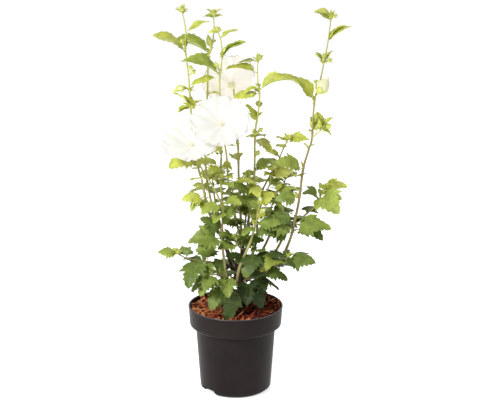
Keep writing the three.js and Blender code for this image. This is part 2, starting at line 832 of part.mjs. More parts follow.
/** An open flower: calyx, petals and the column in the middle. */
function flower(foot, { face, radius }) {
  const axes = flowerAxes(face);
  const along = (distance) => foot.clone().addScaledVector(axes.ahead, distance);
  const calyxLength = radius * CALYX.length;
  const calyx = limb({
    line: new THREE.CatmullRomCurve3([along(-1), along(calyxLength / 2), along(calyxLength)]),
    radii: [CALYX.foot, radius * CALYX.tip],
    sides: CALYX.sides,
    steps: CALYX.steps,
  });
  const centre = along(calyxLength * PETAL.seat);
  const top = along(calyxLength + radius * COLUMN.length);
  const column = limb({
    line: new THREE.CatmullRomCurve3([along(calyxLength / 2), along(calyxLength), top]),
    ...COLUMN,
  });
  const petals = [];
  for (let number = 0; number < PETAL.count; number += 1) {
    petals.push(petal(centre, axes, radius, number));
  }
  return joined([calyx, column, ...petals]);
}

// ---------------------------------------------------------------- growing the plant

/** True where a solid's box lies within reach of another's. */
function boxesMeet(one, other) {
  const a = one.boundingBox();
  const b = other.boundingBox();
  return [0, 1, 2].every((k) => a.min[k] <= b.max[k] && b.min[k] <= a.max[k]);
}

/** True where a solid touches none of the others. */
function isClear(solid, others) {
  return others
    .filter((other) => boxesMeet(solid, other))
    .every((other) => solid.intersect(other).isEmpty());
}

/** The parts of a solid that are left, without loose scraps. */
function largestBody(solid) {
  return solid.decompose().reduce((best, body) => (body.volume() > best.volume() ? body : best));
}

/** The points of a limb, started just clear of the tip that it carries on from. */
function startedClear({ onTipOf, via }) {
  if (!onTipOf) return via;
  const [foot, ...rest] = via;
  const ahead = lineThrough(via).getTangent(0).multiplyScalar(GAP);
  return [[foot[0] + ahead.x, foot[1] + ahead.y, foot[2] + ahead.z], ...rest];
}

/** The line, radii, sides and steps of a limb in one of the tables. */
function limbSizes(row, { sides, detail }) {
  const line = lineThrough(startedClear(row));
  return { line, radii: row.radii, flare: row.flare, sides, steps: (row.via.length - 1) * detail };
}

/** Grows limbs one by one, each cut back from those before it to leave the gap. */
class Limbs {
  solids = new Map();
  sleeves = [];

  /** Adds one limb, less the sleeves round those before it. */
  add(name, row, kind) {
    const sizes = limbSizes(row, kind);
    const whole = limb(sizes);
    if (row.from && isClear(whole, [this.solids.get(row.from)])) {
      throw new Error(`${name} does not start inside ${row.from}`);
    }
    const near = this.sleeves.filter((sleeve) => boxesMeet(whole, sleeve));
    const left = near.reduce((rest, sleeve) => rest.subtract(sleeve), whole);
    this.solids.set(name, largestBody(left));
    this.sleeves.push(limb({ ...sizes, spare: GAP / Math.cos(Math.PI / kind.sides) }));
  }
}

/** Leaf rows dealt out by the seeded rule along a shoot, to the back or all round. */
function filledRows({ seed, count, from, to, length, round }) {
  const random = randomFrom(seed);
  const between = ([low, high], share) => low + (high - low) * share;
  const rows = [];
  for (let k = 0; k < count; k += 1) {
    const share = k / (count - 1);
    const place = between([from, to], share);
    const heading = round ? FILL.turn * k + FILL.stray * random() : between(FILL.back, random());
    const rise = FILL.rise - FILL.fall * random() * (1 - share * FILL.calm);
    const size = between(length, share) * between(FILL.size, random());
    rows.push([place, heading, rise, size, FILL.roll * (random() - 0.5)]);
  }
  return rows;
}

/** All leaf rows of a shoot. */
function leafRows(shoot) {
  const dealt = shoot.fill ? filledRows(shoot.fill) : [];
  return [...(shoot.leaves ?? []), ...dealt];
}

/** Grows the leaves of a shoot that find room among the other solids. */
function leavesOf(name, shoot, others) {
  const grown = [];
  for (const [place, heading, rise, length, roll] of leafRows(shoot)) {
    const foot = pointAt(shoot.via, place);
    const poses = NUDGES.map(([turn, tilt]) => ({
      heading: heading + turn,
      rise: rise + tilt,
      length,
      roll,
    }));
    const pose = poses.find((trial) => isClear(leaf(foot, trial, GAP), others));
    if (pose) grown.push(leaf(foot, pose));
  }
  return grown;
}

/** Grows the buds of a shoot that find room among the other solids. */
function budsOf(shoot, others) {
  return (shoot.buds ?? [])
    .map((row) => bud(pointAt(shoot.via, row[0]), row))
    .filter((solid) => isClear(solid, others));
}

/** Grows the trunk, the boughs, and the bare stems of the shoots and flowering twigs. */
function growLimbs() {
  const limbs = new Limbs();
  limbs.add("trunk", TRUNK, LIMBS.trunk);
  const boughs = Object.entries(BOUGHS);
  boughs.forEach(([name, bough]) => limbs.add(name, bough, LIMBS.bough));
  const stems = Object.entries({ ...SHOOTS, ...FLOWERS });
  stems.forEach(([name, stem]) => limbs.add(name, stem, LIMBS.stem));
  return limbs.solids;
}

/** Sets the open flowers on their twigs. */
function blossomOut(solids) {
  for (const [name, twig] of Object.entries(FLOWERS)) {
    const bloom = flower(pointAt(twig.via, twig.via.length - 1), twig);
    solids.set(name, solids.get(name).add(bloom));
  }
}

/** Adds leaves and buds to the shoots, each kept clear of all that is there. */
function leafOut(solids) {
  for (const [name, shoot] of Object.entries({ ...FLOWERS, ...SHOOTS })) {
    const others = [...solids].filter(([other]) => other !== name).map(([, solid]) => solid);
    const buds = budsOf(shoot, others);
    const leaves = leavesOf(name, shoot, others);
    solids.set(name, largestBody(joined([solids.get(name), ...buds, ...leaves])));
  }
}

// ---------------------------------------------------------------- pot and soil

/** Outer profile of the pot, from its underside up to the rim. */
function potOutside() {
  return [
    [POT.foot, 0],
    [POT.heel, POT.heelRise],
    [POT.shoulder, POT.height - POT.shoulderDrop],
    [POT.collarFoot, POT.height - POT.collarDrop],
    [POT.rim, POT.height],
  ];
}

/** Inner profile of the pot, from its rim down to the floor. */
function potInside() {
  return [
    [POT.rim - POT.lip, POT.height],
    [POT.collarFoot - POT.wall, POT.height - POT.collarDrop],
    [POT.shoulder - POT.wall, POT.height - POT.shoulderDrop + POT.wall],
    [POT.heel - POT.wall, POT.floor],
  ];
}

/** Turns a profile of [radius, height] rows about +Z into a solid. */
function turned(profile, sides) {
  const points = profile.map(([radius, height]) => new THREE.Vector2(radius, height));
  const geometry = new THREE.LatheGeometry(points, sides);
  geometry.rotateX(Math.PI / 2);
  return solidOf(geometry);
}

/** The pot: a thin turned shell with drain notches cut in its foot. */
function pot() {
  const profile = [[0, 0], ...potOutside(), ...potInside(), [0, POT.floor]];
  let solid = turned(profile, POT.sides);
  for (const heading of NOTCH.headings) {
    const cutter = new THREE.BoxGeometry(NOTCH.depth * 2, NOTCH.width, NOTCH.height * 2);
    cutter.translate(POT.heel, 0, 0);
    cutter.rotateZ(radians(heading));
    solid = solid.subtract(solidOf(cutter));
  }
  return solid;
}

/** The soil and mulch that fill the pot up to just under its rim. */
function soil() {
  const inside = potInside().slice(1).reverse();
  const wall = inside.map(([radius, height]) => [radius - GAP, height + GAP]);
  const share = (SOIL.edge - (POT.height - POT.collarDrop)) / POT.collarDrop;
  const lipInside = POT.rim - POT.lip;
  const collarInside = POT.collarFoot - POT.wall;
  const edge = collarInside + (lipInside - collarInside) * share - GAP;
  const top = [[edge, SOIL.edge], [SOIL.crown, SOIL.level], [0, SOIL.level]];
  return turned([[0, POT.floor + GAP], ...wall, ...top], POT.sides);
}

// ---------------------------------------------------------------- materials

const finish = (color, roughness) =>
  new THREE.MeshStandardMaterial({ color, roughness, metalness: 0 });

const FINISHES = {
  pot: finish(0x3a3333, 0.45),
  soil: finish(0x6b3a22, 0.95),
  bark: finish(0x5a4433, 0.85),
  twig: finish(0x8f8a52, 0.7),
  leaf: finish(0x5f8a2e, 0.55),
  flower: finish(0xf6f4f0, 0.6),
};

/** The finish that suits a node's name. */
function finishOf(name) {
  if (name in FINISHES) return FINISHES[name];
  if (name.startsWith("flowering")) return FINISHES.flower;
  if (name.startsWith("foliage")) return FINISHES.leaf;
  return name === "trunk" ? FINISHES.bark : FINISHES.twig;
}

// ---------------------------------------------------------------- the whole plant

/** Builds the shrub in its pot as one group of named meshes. */
function buildShrub() {
  const solids = new Map([["pot", pot()], ["soil", soil()], ...growLimbs()]);
  blossomOut(solids);
  leafOut(solids);
  const shrub = new THREE.Group();
  shrub.name = "rose_of_sharon";
  for (const [name, solid] of solids) {
    const mesh = new THREE.Mesh(geometryOf(solid), finishOf(name));
    mesh.name = name;
    shrub.add(mesh);
  }
  return shrub;
}

export default buildShrub();
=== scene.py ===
"""Rose of sharon, a young flowering shrub in its round nursery pot.

Limbs, leaves, buds and flowers grow here from the same named sizes, and by the same
seeded rules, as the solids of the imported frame, and go on to finer parts within the
same reach. The tables are in millimetres and degrees, the finished meshes in metres.
"""

import logging
from collections.abc import Iterable, Sequence
from dataclasses import dataclass, field, replace
from enum import Enum, IntEnum

import bpy
import numpy as np
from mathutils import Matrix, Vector


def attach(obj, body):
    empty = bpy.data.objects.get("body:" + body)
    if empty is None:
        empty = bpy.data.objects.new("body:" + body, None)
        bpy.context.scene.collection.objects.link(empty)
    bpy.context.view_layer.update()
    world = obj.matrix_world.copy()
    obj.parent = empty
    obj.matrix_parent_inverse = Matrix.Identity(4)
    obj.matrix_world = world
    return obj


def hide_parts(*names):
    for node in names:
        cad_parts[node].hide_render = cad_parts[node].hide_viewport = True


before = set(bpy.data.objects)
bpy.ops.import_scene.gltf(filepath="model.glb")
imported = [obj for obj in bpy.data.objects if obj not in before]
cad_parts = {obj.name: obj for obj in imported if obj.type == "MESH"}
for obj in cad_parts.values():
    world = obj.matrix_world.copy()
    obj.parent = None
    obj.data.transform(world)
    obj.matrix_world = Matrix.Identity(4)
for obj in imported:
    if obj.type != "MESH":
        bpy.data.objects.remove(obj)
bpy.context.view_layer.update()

LOG = logging.getLogger("shrub")
MM = 0.001
TURN = 2 * np.pi
GOLDEN_ANGLE = 137.5
BODY = "root"

Array = np.ndarray
Row = tuple[float, ...]
Colour = tuple[int, int, int]

# ---- shader expressions


class Field:
    """A shader value that changes over a surface; expressions on it add Math nodes."""

    def __init__(self, graph: "Graph", socket: bpy.types.NodeSocket) -> None:
        """Wraps one output socket of a graph."""
        self.graph = graph
        self.socket = socket

    def _math(self, operation: str, first: object, second: object) -> "Field":
        """Adds one Math node over two values."""
        return self.graph.node("Math", {"operation": operation}, {0: first, 1: second})

    def __add__(self, other: object) -> "Field":
        """Sum of two values."""
        return self._math("ADD", self, other)

    __radd__ = __add__

    def __mul__(self, other: object) -> "Field":
        """Product of two values."""
        return self._math("MULTIPLY", self, other)

    __rmul__ = __mul__

    def step(self, low: float, high: float) -> "Field":
        """0 below low, 1 above high, and a smooth blend between them."""
        return self.graph.node("MapRange", {"interpolation_type": "SMOOTHSTEP"}, {0: self, 1: low, 2: high})


class Graph:
    """The nodes of one material."""

    # Numbers of the Mix node's factor, two colours and mixed colour.
    mix_share, mix_low, mix_high, mix_result = 0, 6, 7, 2

    def __init__(self, material: bpy.types.Material) -> None:
        """Clears the material's node tree.

        Args:
            material: The material whose nodes are built.
        """
        material.use_nodes = True
        self.tree = material.node_tree
        self.tree.nodes.clear()

    def node(
        self,
        kind: str,
        settings: dict | None = None,
        inputs: dict | None = None,
        output: int | str = 0,
    ) -> Field:
        """Adds one node.

        Args:
            kind: The node's type, without its ShaderNode prefix.
            settings: Properties, which are set before the sockets are filled.
            inputs: Values, colours or fields, by the name or number of their socket.
            output: Name or number of the socket that is handed back.

        Returns:
            The node's output.
        """
        node = self.tree.nodes.new("ShaderNode" + kind)
        for name, value in (settings or {}).items():
            setattr(node, name, value)
        for name, value in (inputs or {}).items():
            if isinstance(value, Field):
                self.tree.links.new(value.socket, node.inputs[name])
            else:
                node.inputs[name].default_value = value
        return Field(self, node.outputs[output])

    def place(self) -> Field:
        """Object coordinates of the surface, in metres."""
        return self.node("TexCoord", output="Object")

    def noise(self, scale: float, detail: float = 3.0, stretch: Row | None = None) -> Field:
        """Soft noise from 0 to 1.

        Args:
            scale: Lumps in a metre.
            detail: Layers of finer noise on top.
            stretch: Factors on the three coordinates; below 1 they draw the lumps out.

        Returns:
            The noise's value.
        """
        place = self.place()
        if stretch:
            place = self.node("Mapping", inputs={"Vector": place, "Scale": stretch})
        return self.node("TexNoise", inputs={"Vector": place, "Scale": scale, "Detail": detail}, output="Fac")

    def blend(self, share: Field, low: tuple, high: tuple) -> Field:
        """A colour from low to high by a share."""
        sockets = {self.mix_share: share, self.mix_low: low, self.mix_high: high}
        return self.node("Mix", {"data_type": "RGBA"}, sockets, self.mix_result)

    def relief(self, height: Field, depth: float) -> Field:
        """A normal bent by a height from 0 to 1 that stands for depth metres."""
        return self.node("Bump", inputs={"Height": height, "Distance": depth}, output="Normal")


def linear(colour: Colour, shade: float = 1.0) -> tuple[float, float, float, float]:
    """Scene-linear colour of a display colour: ((c / 255 + 0.055) / 1.055) ** 2.4, times shade.

    Args:
        colour: Red, green and blue, from 0 to 255.
        shade: Factor on the light.

    Returns:
        Red, green, blue and an alpha of 1.
    """
    share = np.array(colour) / 255
    light = np.where(share > 0.04045, ((share + 0.055) / 1.055) ** 2.4, share / 12.92) * shade
    return (*np.clip(light, 0, 1).tolist(), 1.0)


# ---- finishes


@dataclass(frozen=True)
class Finish:
    """A plain base colour with a fine grain in its gloss and relief."""

    name: str
    colour: Colour
    roughness: float = 0.6
    spread: float = 0.1
    grain: float = 900.0
    depth: float = 0.0002
    specular: float = 0.5
    subsurface: float = 0.0
    glow: float = 0.0

    def gloss(self, pattern: Field) -> Field:
        """Roughness, spread about its middle by a pattern from 0 to 1."""
        return pattern * self.spread + (self.roughness - self.spread / 2)

    def vary(self, graph: Graph) -> dict[str, Field]:
        """What changes over the surface: gloss and relief follow one noise."""
        grain = graph.noise(self.grain)
        return {"Roughness": self.gloss(grain), "Normal": graph.relief(grain, self.depth)}

    def material(self) -> bpy.types.Material:
        """Builds the material, one shader over its constant and its varying values.

        Returns:
            The material.
        """
        material = bpy.data.materials.new(self.name)
        graph = Graph(material)
        constant = {
            "Base Color": linear(self.colour),
            "Specular IOR Level": self.specular,
            "Subsurface Weight": self.subsurface,
            "Emission Color": linear(self.colour),
            "Emission Strength": self.glow,
        }
        shader = graph.node("BsdfPrincipled", inputs={**constant, **self.vary(graph)})
        out = graph.tree.nodes.new("ShaderNodeOutputMaterial")
        graph.tree.links.new(shader.socket, out.inputs["Surface"])
        return material


@dataclass(frozen=True)
class Moulded(Finish):
    """Dark moulded plastic: faint clouds in the colour, a fine pebble and long soft streaks."""

    cloud: Colour = (40, 33, 31)
    clouds: float = 14
    streaks: float = 30
    run_round: Row = (0.4, 0.4, 6)
    pebbles: float = 1400

    def vary(self, graph: Graph) -> dict[str, Field]:
        """Colour by broad clouds, gloss by streaks that run round, relief by pebble and streak.

        Args:
            graph: The material's nodes.

        Returns:
            Fields by the name of their socket.
        """
        clouds = graph.noise(self.clouds, detail=4).step(0.35, 0.75)
        streaks = graph.noise(self.streaks, 2, self.run_round)
        pebble = graph.noise(self.pebbles, detail=1)
        return {
            "Base Color": graph.blend(clouds, linear(self.colour), linear(self.cloud)),
            "Roughness": self.gloss(streaks),
            "Normal": graph.relief(pebble * 0.5 + streaks * 0.5, self.depth),
        }


@dataclass(frozen=True)
class Fibrous(Finish):
    """Torn bark: level strands in relief."""

    lie_level: Row = (1, 1, 5)

    def vary(self, graph: Graph) -> dict[str, Field]:
        """Gloss and relief follow strands that are drawn out level."""
        strands = graph.noise(self.grain, 4, self.lie_level)
        return {"Roughness": self.gloss(strands), "Normal": graph.relief(strands, self.depth)}


@dataclass(frozen=True)
class Bark(Finish):
    """Young bark: strands that run up the limb, with fine pores."""

    run_up: Row = (1, 1, 0.12)
    finer: float = 1.6
    strand_share: float = 0.7

    def vary(self, graph: Graph) -> dict[str, Field]:
        """Gloss follows pores; relief adds strands drawn out upwards to them.

        Args:
            graph: The material's nodes.

        Returns:
            Fields by the name of their socket.
        """
        strands = graph.noise(self.grain, 3, self.run_up)
        pores = graph.noise(self.grain * self.finer, detail=2)
        height = strands * self.strand_share + pores * (1 - self.strand_share)
        return {"Roughness": self.gloss(pores), "Normal": graph.relief(height, self.depth)}


@dataclass(frozen=True)
class Leafy(Finish):
    """A leaf: soft clouds in its colour, a fine grain in its gloss and relief."""

    clouds: float = 75
    shade: float = 0.8
    light: float = 1.15

    def vary(self, graph: Graph) -> dict[str, Field]:
        """Adds the colour, from shade to light times its own, to what every finish varies.

        Args:
            graph: The material's nodes.

        Returns:
            Fields by the name of their socket.
        """
        clouds = graph.noise(self.clouds).step(0.3, 0.7)
        colour = graph.blend(clouds, linear(self.colour, self.shade), linear(self.colour, self.light))
        return {"Base Color": colour, **super().vary(graph)}


FLOOR = Finish("floor_white", (245, 245, 245), 0.9, spread=0.05, grain=40.0, depth=0.0, glow=0.74)
LEAF_SURFACE = {"roughness": 0.44, "spread": 0.16, "grain": 420.0, "depth": 0.0004, "specular": 0.28}
LEAF_TONES = tuple(
    Leafy(f"leaf_{name}", colour, **LEAF_SURFACE)
    for name, colour in (
        ("shade", (57, 72, 36)),
        ("deep", (82, 101, 48)),
        ("summer", (109, 129, 59)),
        ("mid", (134, 152, 70)),
        ("fresh", (160, 175, 79)),
        ("young", (190, 196, 86)),
        ("tip", (209, 213, 108)),
        ("new", (222, 225, 132)),
    )
)
# Painted light: sepals, bracts and green bud bodies glow faintly, so that they don't read dull where the
# lamps leave them in shade.
SEPAL_TONES = tuple(
    Leafy(f"sepal_{name}", colour, **LEAF_SURFACE, subsurface=0.1, glow=0.1)
    for name, colour in (("mid", (186, 194, 90)), ("light", (212, 217, 124)))
)
RIB_SHARE = 0.6
RIB_LIGHT = (76, 80, 40)
RIB_TONES = tuple(
    replace(
        tone,
        name=f"{tone.name}_rib",
        colour=tuple(int(own * RIB_SHARE + added) for own, added in zip(tone.colour, RIB_LIGHT)),
    )
    for tone in LEAF_TONES
)
BARK_TONES = tuple(
    Bark(f"bark_{name}", colour, roughness=0.78, spread=0.2, grain=700.0, depth=0.0006, specular=0.3)
    for name, colour in (
        ("old", (52, 40, 31)),
        ("brown", (78, 64, 45)),
        ("tan", (148, 134, 90)),
        ("pale", (168, 156, 106)),
        ("green", (176, 172, 110)),
        ("fresh", (192, 194, 110)),
    )
)
# The petals glow: painted light that flattens their shading to a faint near-white.
PETAL = Finish(
    "petal_white", (199, 198, 193), grain=260.0, depth=0.0003, specular=0.3, subsurface=0.2, glow=0.52
)
# Painted shade: a darker copy of the petal finish for the last row of faces along each petal's edge.
EDGE = replace(PETAL, name="petal_shaded_edge", colour=(186, 182, 180), glow=0.36)
# Painted shade: a beige copy of the petal finish for the flower that faces the back.
SHADED_BEIGE = replace(PETAL, name="petal_shaded_beige", colour=(207, 203, 198), glow=0.62)
# Painted light: the calyx is paler than green and glows, so that it doesn't read dark where it faces away
# from the lamps.
CALYX = Leafy(
    "calyx", (220, 220, 184), 0.5, grain=420.0, depth=0.0003, specular=0.2, subsurface=0.2, glow=0.32
)
CREAM = Finish("petal_cream", (228, 226, 186), grain=400.0, specular=0.3, subsurface=0.1)
# Painted light: column and pollen glow, so that they read as a pale cream spot and not a shaded tan one.
COLUMN = replace(CREAM, name="column_white", colour=(230, 224, 206), subsurface=0.2, glow=0.26)
POLLEN = Finish(
    "pollen", (234, 218, 188), 0.8, grain=1500.0, depth=0.0003, specular=0.2, subsurface=0.1, glow=0.24
)
PLASTIC = Moulded("pot_plastic", (34, 28, 28), roughness=0.4, spread=0.12, depth=0.0001, specular=0.09)
# Painted highlight: the top of the lip is lighter and glossier than the rest of the pot.
LIP_HIGHLIGHT = replace(PLASTIC, name="pot_lip_highlight", colour=(88, 80, 79), cloud=(74, 66, 66), specular=0.4)
# The soil's own dark colour, darkened further as painted shade in the gaps between the shreds.
LOAM = Fibrous("loam", (26, 17, 13), roughness=0.95, grain=300.0, depth=0.002, specular=0.1)
MULCH_TONES = tuple(
    Fibrous(f"mulch_{name}", colour, roughness=0.82, spread=0.2, grain=500.0, depth=0.0006, specular=0.3)
    for name, colour in (
        ("dark", (42, 22, 17)),
        ("red", (108, 38, 24)),
        ("rust", (158, 64, 36)),
        ("orange", (214, 110, 60)),
        ("pale", (238, 172, 122)),
    )
)

# ---- surfaces on grids


def net(rows: int, columns: int, closed: bool = False) -> Array:
    """Corners of the quads between the points of a grid, counted row by row.

    Args:
        rows: Rows of points.
        columns: Points in a row.
        closed: Whether the last point of a row meets its first.

    Returns:
        Four point numbers for each quad.
    """
    row = np.arange(rows - 1)[:, None] * columns
    column = np.arange(columns if closed else columns - 1)[None, :]
    after = (column + 1) % columns
    corners = (row + column, row + after, row + columns + after, row + columns + column)
    return np.stack(corners, axis=-1).reshape(-1, 4)


def fan(ring: Array, pole: int) -> Array:
    """Triangles from the points of an open or closed ring to a pole, as quads with a repeated corner."""
    poles = np.full(len(ring) - 1, pole)
    return np.stack([ring[:-1], ring[1:], poles, poles], axis=-1)


def capped(rings: Array) -> tuple[Array, Array]:
    """Closes a stack of rings with a pole in the middle of its first and its last ring.

    Args:
        rings: Points by ring and side.

    Returns:
        The points, and the corners of the faces.
    """
    count, sides = rings.shape[:2]
    points = np.concatenate([rings.reshape(-1, 3), rings[0].mean(0)[None], rings[-1].mean(0)[None]])
    loop = np.append(np.arange(sides), 0)
    foot = fan(loop[::-1], count * sides)
    head = fan(loop + (count - 1) * sides, count * sides + 1)
    return points, np.concatenate([net(count, sides, closed=True), foot, head])


def direction(heading: float, rise: float) -> Array:
    """Unit vector (cos r cos h, cos r sin h, sin r) of a heading h round +Z and a rise r."""
    h, r = np.radians([heading, rise])
    return np.array([np.cos(r) * np.cos(h), np.cos(r) * np.sin(h), np.sin(r)])


def unit(vectors: Array) -> Array:
    """Vectors brought to length 1."""
    return vectors / np.linalg.norm(vectors, axis=-1, keepdims=True)


def square_axes(ahead: Array) -> tuple[Array, Array]:
    """Two unit vectors square to ahead and to each other, with side x across = ahead.

    Args:
        ahead: A unit vector.

    Returns:
        Side and across.
    """
    least = np.eye(3)[np.argmin(np.abs(ahead))]
    side = unit(np.cross(ahead, least))
    return side, np.cross(ahead, side)


def turned(out: Array, angle: Array, rise: Array) -> Array:
    """Points (out cos angle, out sin angle, rise) round +Z, by broadcast."""
    return np.stack(np.broadcast_arrays(out * np.cos(angle), out * np.sin(angle), rise), axis=-1)


def strap(out: Array, wide: Array, turn: float, rise: Array) -> Array:
    """Points (out, wide, rise) turned round +Z, by broadcast.

    Args:
        out: Distances along the turned +X.
        wide: Distances along the turned +Y.
        turn: Angle in radians.
        rise: Heights.

    Returns:
        The points.
    """
    x = out * np.cos(turn) - wide * np.sin(turn)
    y = out * np.sin(turn) + wide * np.cos(turn)
    return np.stack(np.broadcast_arrays(x, y, rise), axis=-1)


@dataclass(frozen=True)
class Seat:
    """Where a bud or flower sits: its foot, and its side, across and ahead as three rows."""

    foot: Array
    axes: Array

    def set(self, points: Array) -> Array:
        """Points along the axes, brought to the seat."""
        return points.reshape(-1, 3) @ self.axes + self.foot


def tube(path: Array, radius: Array, sides: int) -> Array:
    """Rings along a path: middle + radius (side cos a + across sin a).

    Side is the part of one fixed direction that stands square to the path, so the rings
    carry no twist.

    Args:
        path: Points by ring.
        radius: One for each ring, or one for each ring and side.
        sides: Points in a ring.

    Returns:
        Points by ring and side.
    """
    ahead = unit(np.gradient(path, axis=0))
    fixed, _ = square_axes(unit(path[-1] - path[0]))
    side = unit(fixed - (ahead @ fixed)[:, None] * ahead)
    across = np.cross(ahead, side)
    angle = TURN * np.arange(sides) / sides
    spokes = side[:, None] * np.cos(angle)[:, None] + across[:, None] * np.sin(angle)[:, None]
    radius = radius if radius.ndim == 2 else radius[:, None]
    return path[:, None] + spokes * radius[..., None]


def line_at(via: Sequence[Row], places: Array | float) -> Array:
    """Points on the smooth line through given points.

    A uniform Catmull-Rom cubic, p1 + t m1 + t2 (3 d - 2 m1 - m2) + t3 (m1 + m2 - 2 d), with
    d = p2 - p1, m1 = (p2 - p0) / 2 and m2 = (p3 - p1) / 2. Beyond each end lies the mirror
    image of the point next to it.

    Args:
        via: The points that the line passes through.
        places: Where on the line, counted in those points.

    Returns:
        One point for each place.
    """
    points = np.array(via, float)
    ends = (2 * points[0] - points[1], 2 * points[-1] - points[-2])
    points = np.concatenate([ends[:1], points, ends[1:]])
    places = np.asarray(places, float)
    start = np.clip(np.floor(places).astype(int), 0, len(via) - 2)
    t = (places - start)[..., None]
    p0, p1, p2, p3 = (points[start + k] for k in range(4))
    m1, m2, d = (p2 - p0) / 2, (p3 - p1) / 2, p2 - p1
    return p1 + t * m1 + t**2 * (3 * d - 2 * m1 - m2) + t**3 * (m1 + m2 - 2 * d)


class Patches:
    """Surfaces gathered into one mesh, each face with the number of its finish."""

    def __init__(self) -> None:
        """Starts empty."""
        self.points: list[Array] = []
        self.faces: list[Array] = []
        self.tones: list[Array] = []
        self.count = 0

    def add(self, points: Array, faces: Array, tone: int | Array = 0) -> None:
        """Adds a surface.

        Args:
            points: Its points, in mm.
            faces: Four point numbers for each face; a triangle repeats its last.
            tone: Number of the finish, for all faces or for each.
        """
        points = points.reshape(-1, 3)
        self.points.append(points)
        self.faces.append(faces + self.count)
        self.tones.append(np.broadcast_to(tone, len(faces)))
        self.count += len(points)

    def piece(self, name: str, finishes: Sequence[Finish], slot: str, crease: float = 60) -> bpy.types.Object:
        """Joins what was gathered into one piece that rides on the part's body.

        Args:
            name: The piece's name.
            finishes: Its finishes, in the order of their numbers.
            slot: The name of a slot; not used.
            crease: Bend in degrees from which an edge is shaded sharp.

        Returns:
            The piece.
        """
        points = np.concatenate(self.points) * MM
        faces = np.concatenate(self.faces)
        four = faces[:, 3] != faces[:, 2]
        kept = np.ones(faces.shape, bool)
        kept[:, 3] = four
        sizes = 3 + four
        mesh = bpy.data.meshes.new(name)
        mesh.vertices.add(len(points))
        mesh.vertices.foreach_set("co", points.astype(np.float32).ravel())
        mesh.loops.add(int(sizes.sum()))
        mesh.loops.foreach_set("vertex_index", faces[kept].astype(np.int32))
        mesh.polygons.add(len(faces))
        mesh.polygons.foreach_set("loop_start", (np.cumsum(sizes) - sizes).astype(np.int32))
        mesh.polygons.foreach_set("material_index", np.concatenate(self.tones).astype(np.int32))
        mesh.polygons.foreach_set("use_smooth", np.ones(len(faces), bool))
        mesh.update(calc_edges=True)
        mesh.validate()
        mesh.set_sharp_from_angle(angle=np.radians(crease))
        for finish in finishes:
            mesh.materials.append(finish.material())
        piece = bpy.data.objects.new(name, mesh)
        bpy.context.scene.collection.objects.link(piece)
        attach(piece, BODY)
        return piece


# ---- the growth tables


class Lot:
    """Numbers from 0 to 1 by a fixed rule: the seed is multiplied, added to and cut off."""

    factor = 1664525
    addend = 1013904223
    cut = 2**32

    def __init__(self, seed: int) -> None:
        """Starts from a seed."""
        self.state = seed

    def draw(self) -> float:
        """The next number."""
        self.state = (self.state * self.factor + self.addend) % self.cut
        return self.state / self.cut

    def between(self, low: float, high: float) -> float:
        """The next number, from low to high."""
        return low + (high - low) * self.draw()


@dataclass(frozen=True)
class Fill:
    """Leaves dealt out along a shoot by the seeded rule, to the back or all round.

    The first six values differ from shoot to shoot, and the others belong to the rule:
    wander round the golden angle, headings to the back, greatest rise, fall below it at
    the foot and the share of it that is gone at the tip, variety of sizes, and roll.
    """

    seed: int
    count: int
    start: float
    end: float
    length: tuple[float, float]
    all_round: bool = False
    wander: float = 40
    back: tuple[float, float] = (58, 122)
    rise: float = 18
    fall: float = 44
    ease: float = 0.6
    variety: tuple[float, float] = (0.9, 1.1)
    roll: float = 20

    def rows(self) -> list[Row]:
        """Deals the leaves out.

        Returns:
            Leaf rows of place, heading, rise, length and roll.
        """
        lot = Lot(self.seed)
        rows = []
        for k in range(self.count):
            share = k / (self.count - 1)
            place = self.start + (self.end - self.start) * share
            if self.all_round:
                heading = GOLDEN_ANGLE * k + self.wander * lot.draw()
            else:
                heading = lot.between(*self.back)
            rise = self.rise - self.fall * lot.draw() * (1 - share * self.ease)
            size = (self.length[0] + (self.length[1] - self.length[0]) * share) * lot.between(*self.variety)
            rows.append((place, heading, rise, size, self.roll * (lot.draw() - 0.5)))
        return rows


@dataclass(frozen=True)
class Limb:
    """One limb: its radii, the points that it passes through, and what it carries.

    leaves: place, heading, rise, length and roll. buds: place, heading, rise, stalk and
    length. face: heading and rise of the open flower at the tip, with its radius.
    """

    radii: tuple[float, float]
    via: tuple[Row, ...]
    flare: float = 0.0
    leaves: tuple[Row, ...] = ()
    buds: tuple[Row, ...] = ()
    fill: Fill | None = None
    face: tuple[float, float] | None = None
    radius: float = 0.0

    def leaf_rows(self) -> list[Row]:
        """All leaf rows, the named ones first."""
        return [*self.leaves, *(self.fill.rows() if self.fill else ())]


# Points are in millimetres, headings, rises and rolls in degrees.

TRUNK = Limb(
    radii=(7.6, 6.2),
    flare=5.5,
    via=((10, 0, 166.3), (10.5, 0, 195), (12, 0, 230), (13, 1, 263)),
)

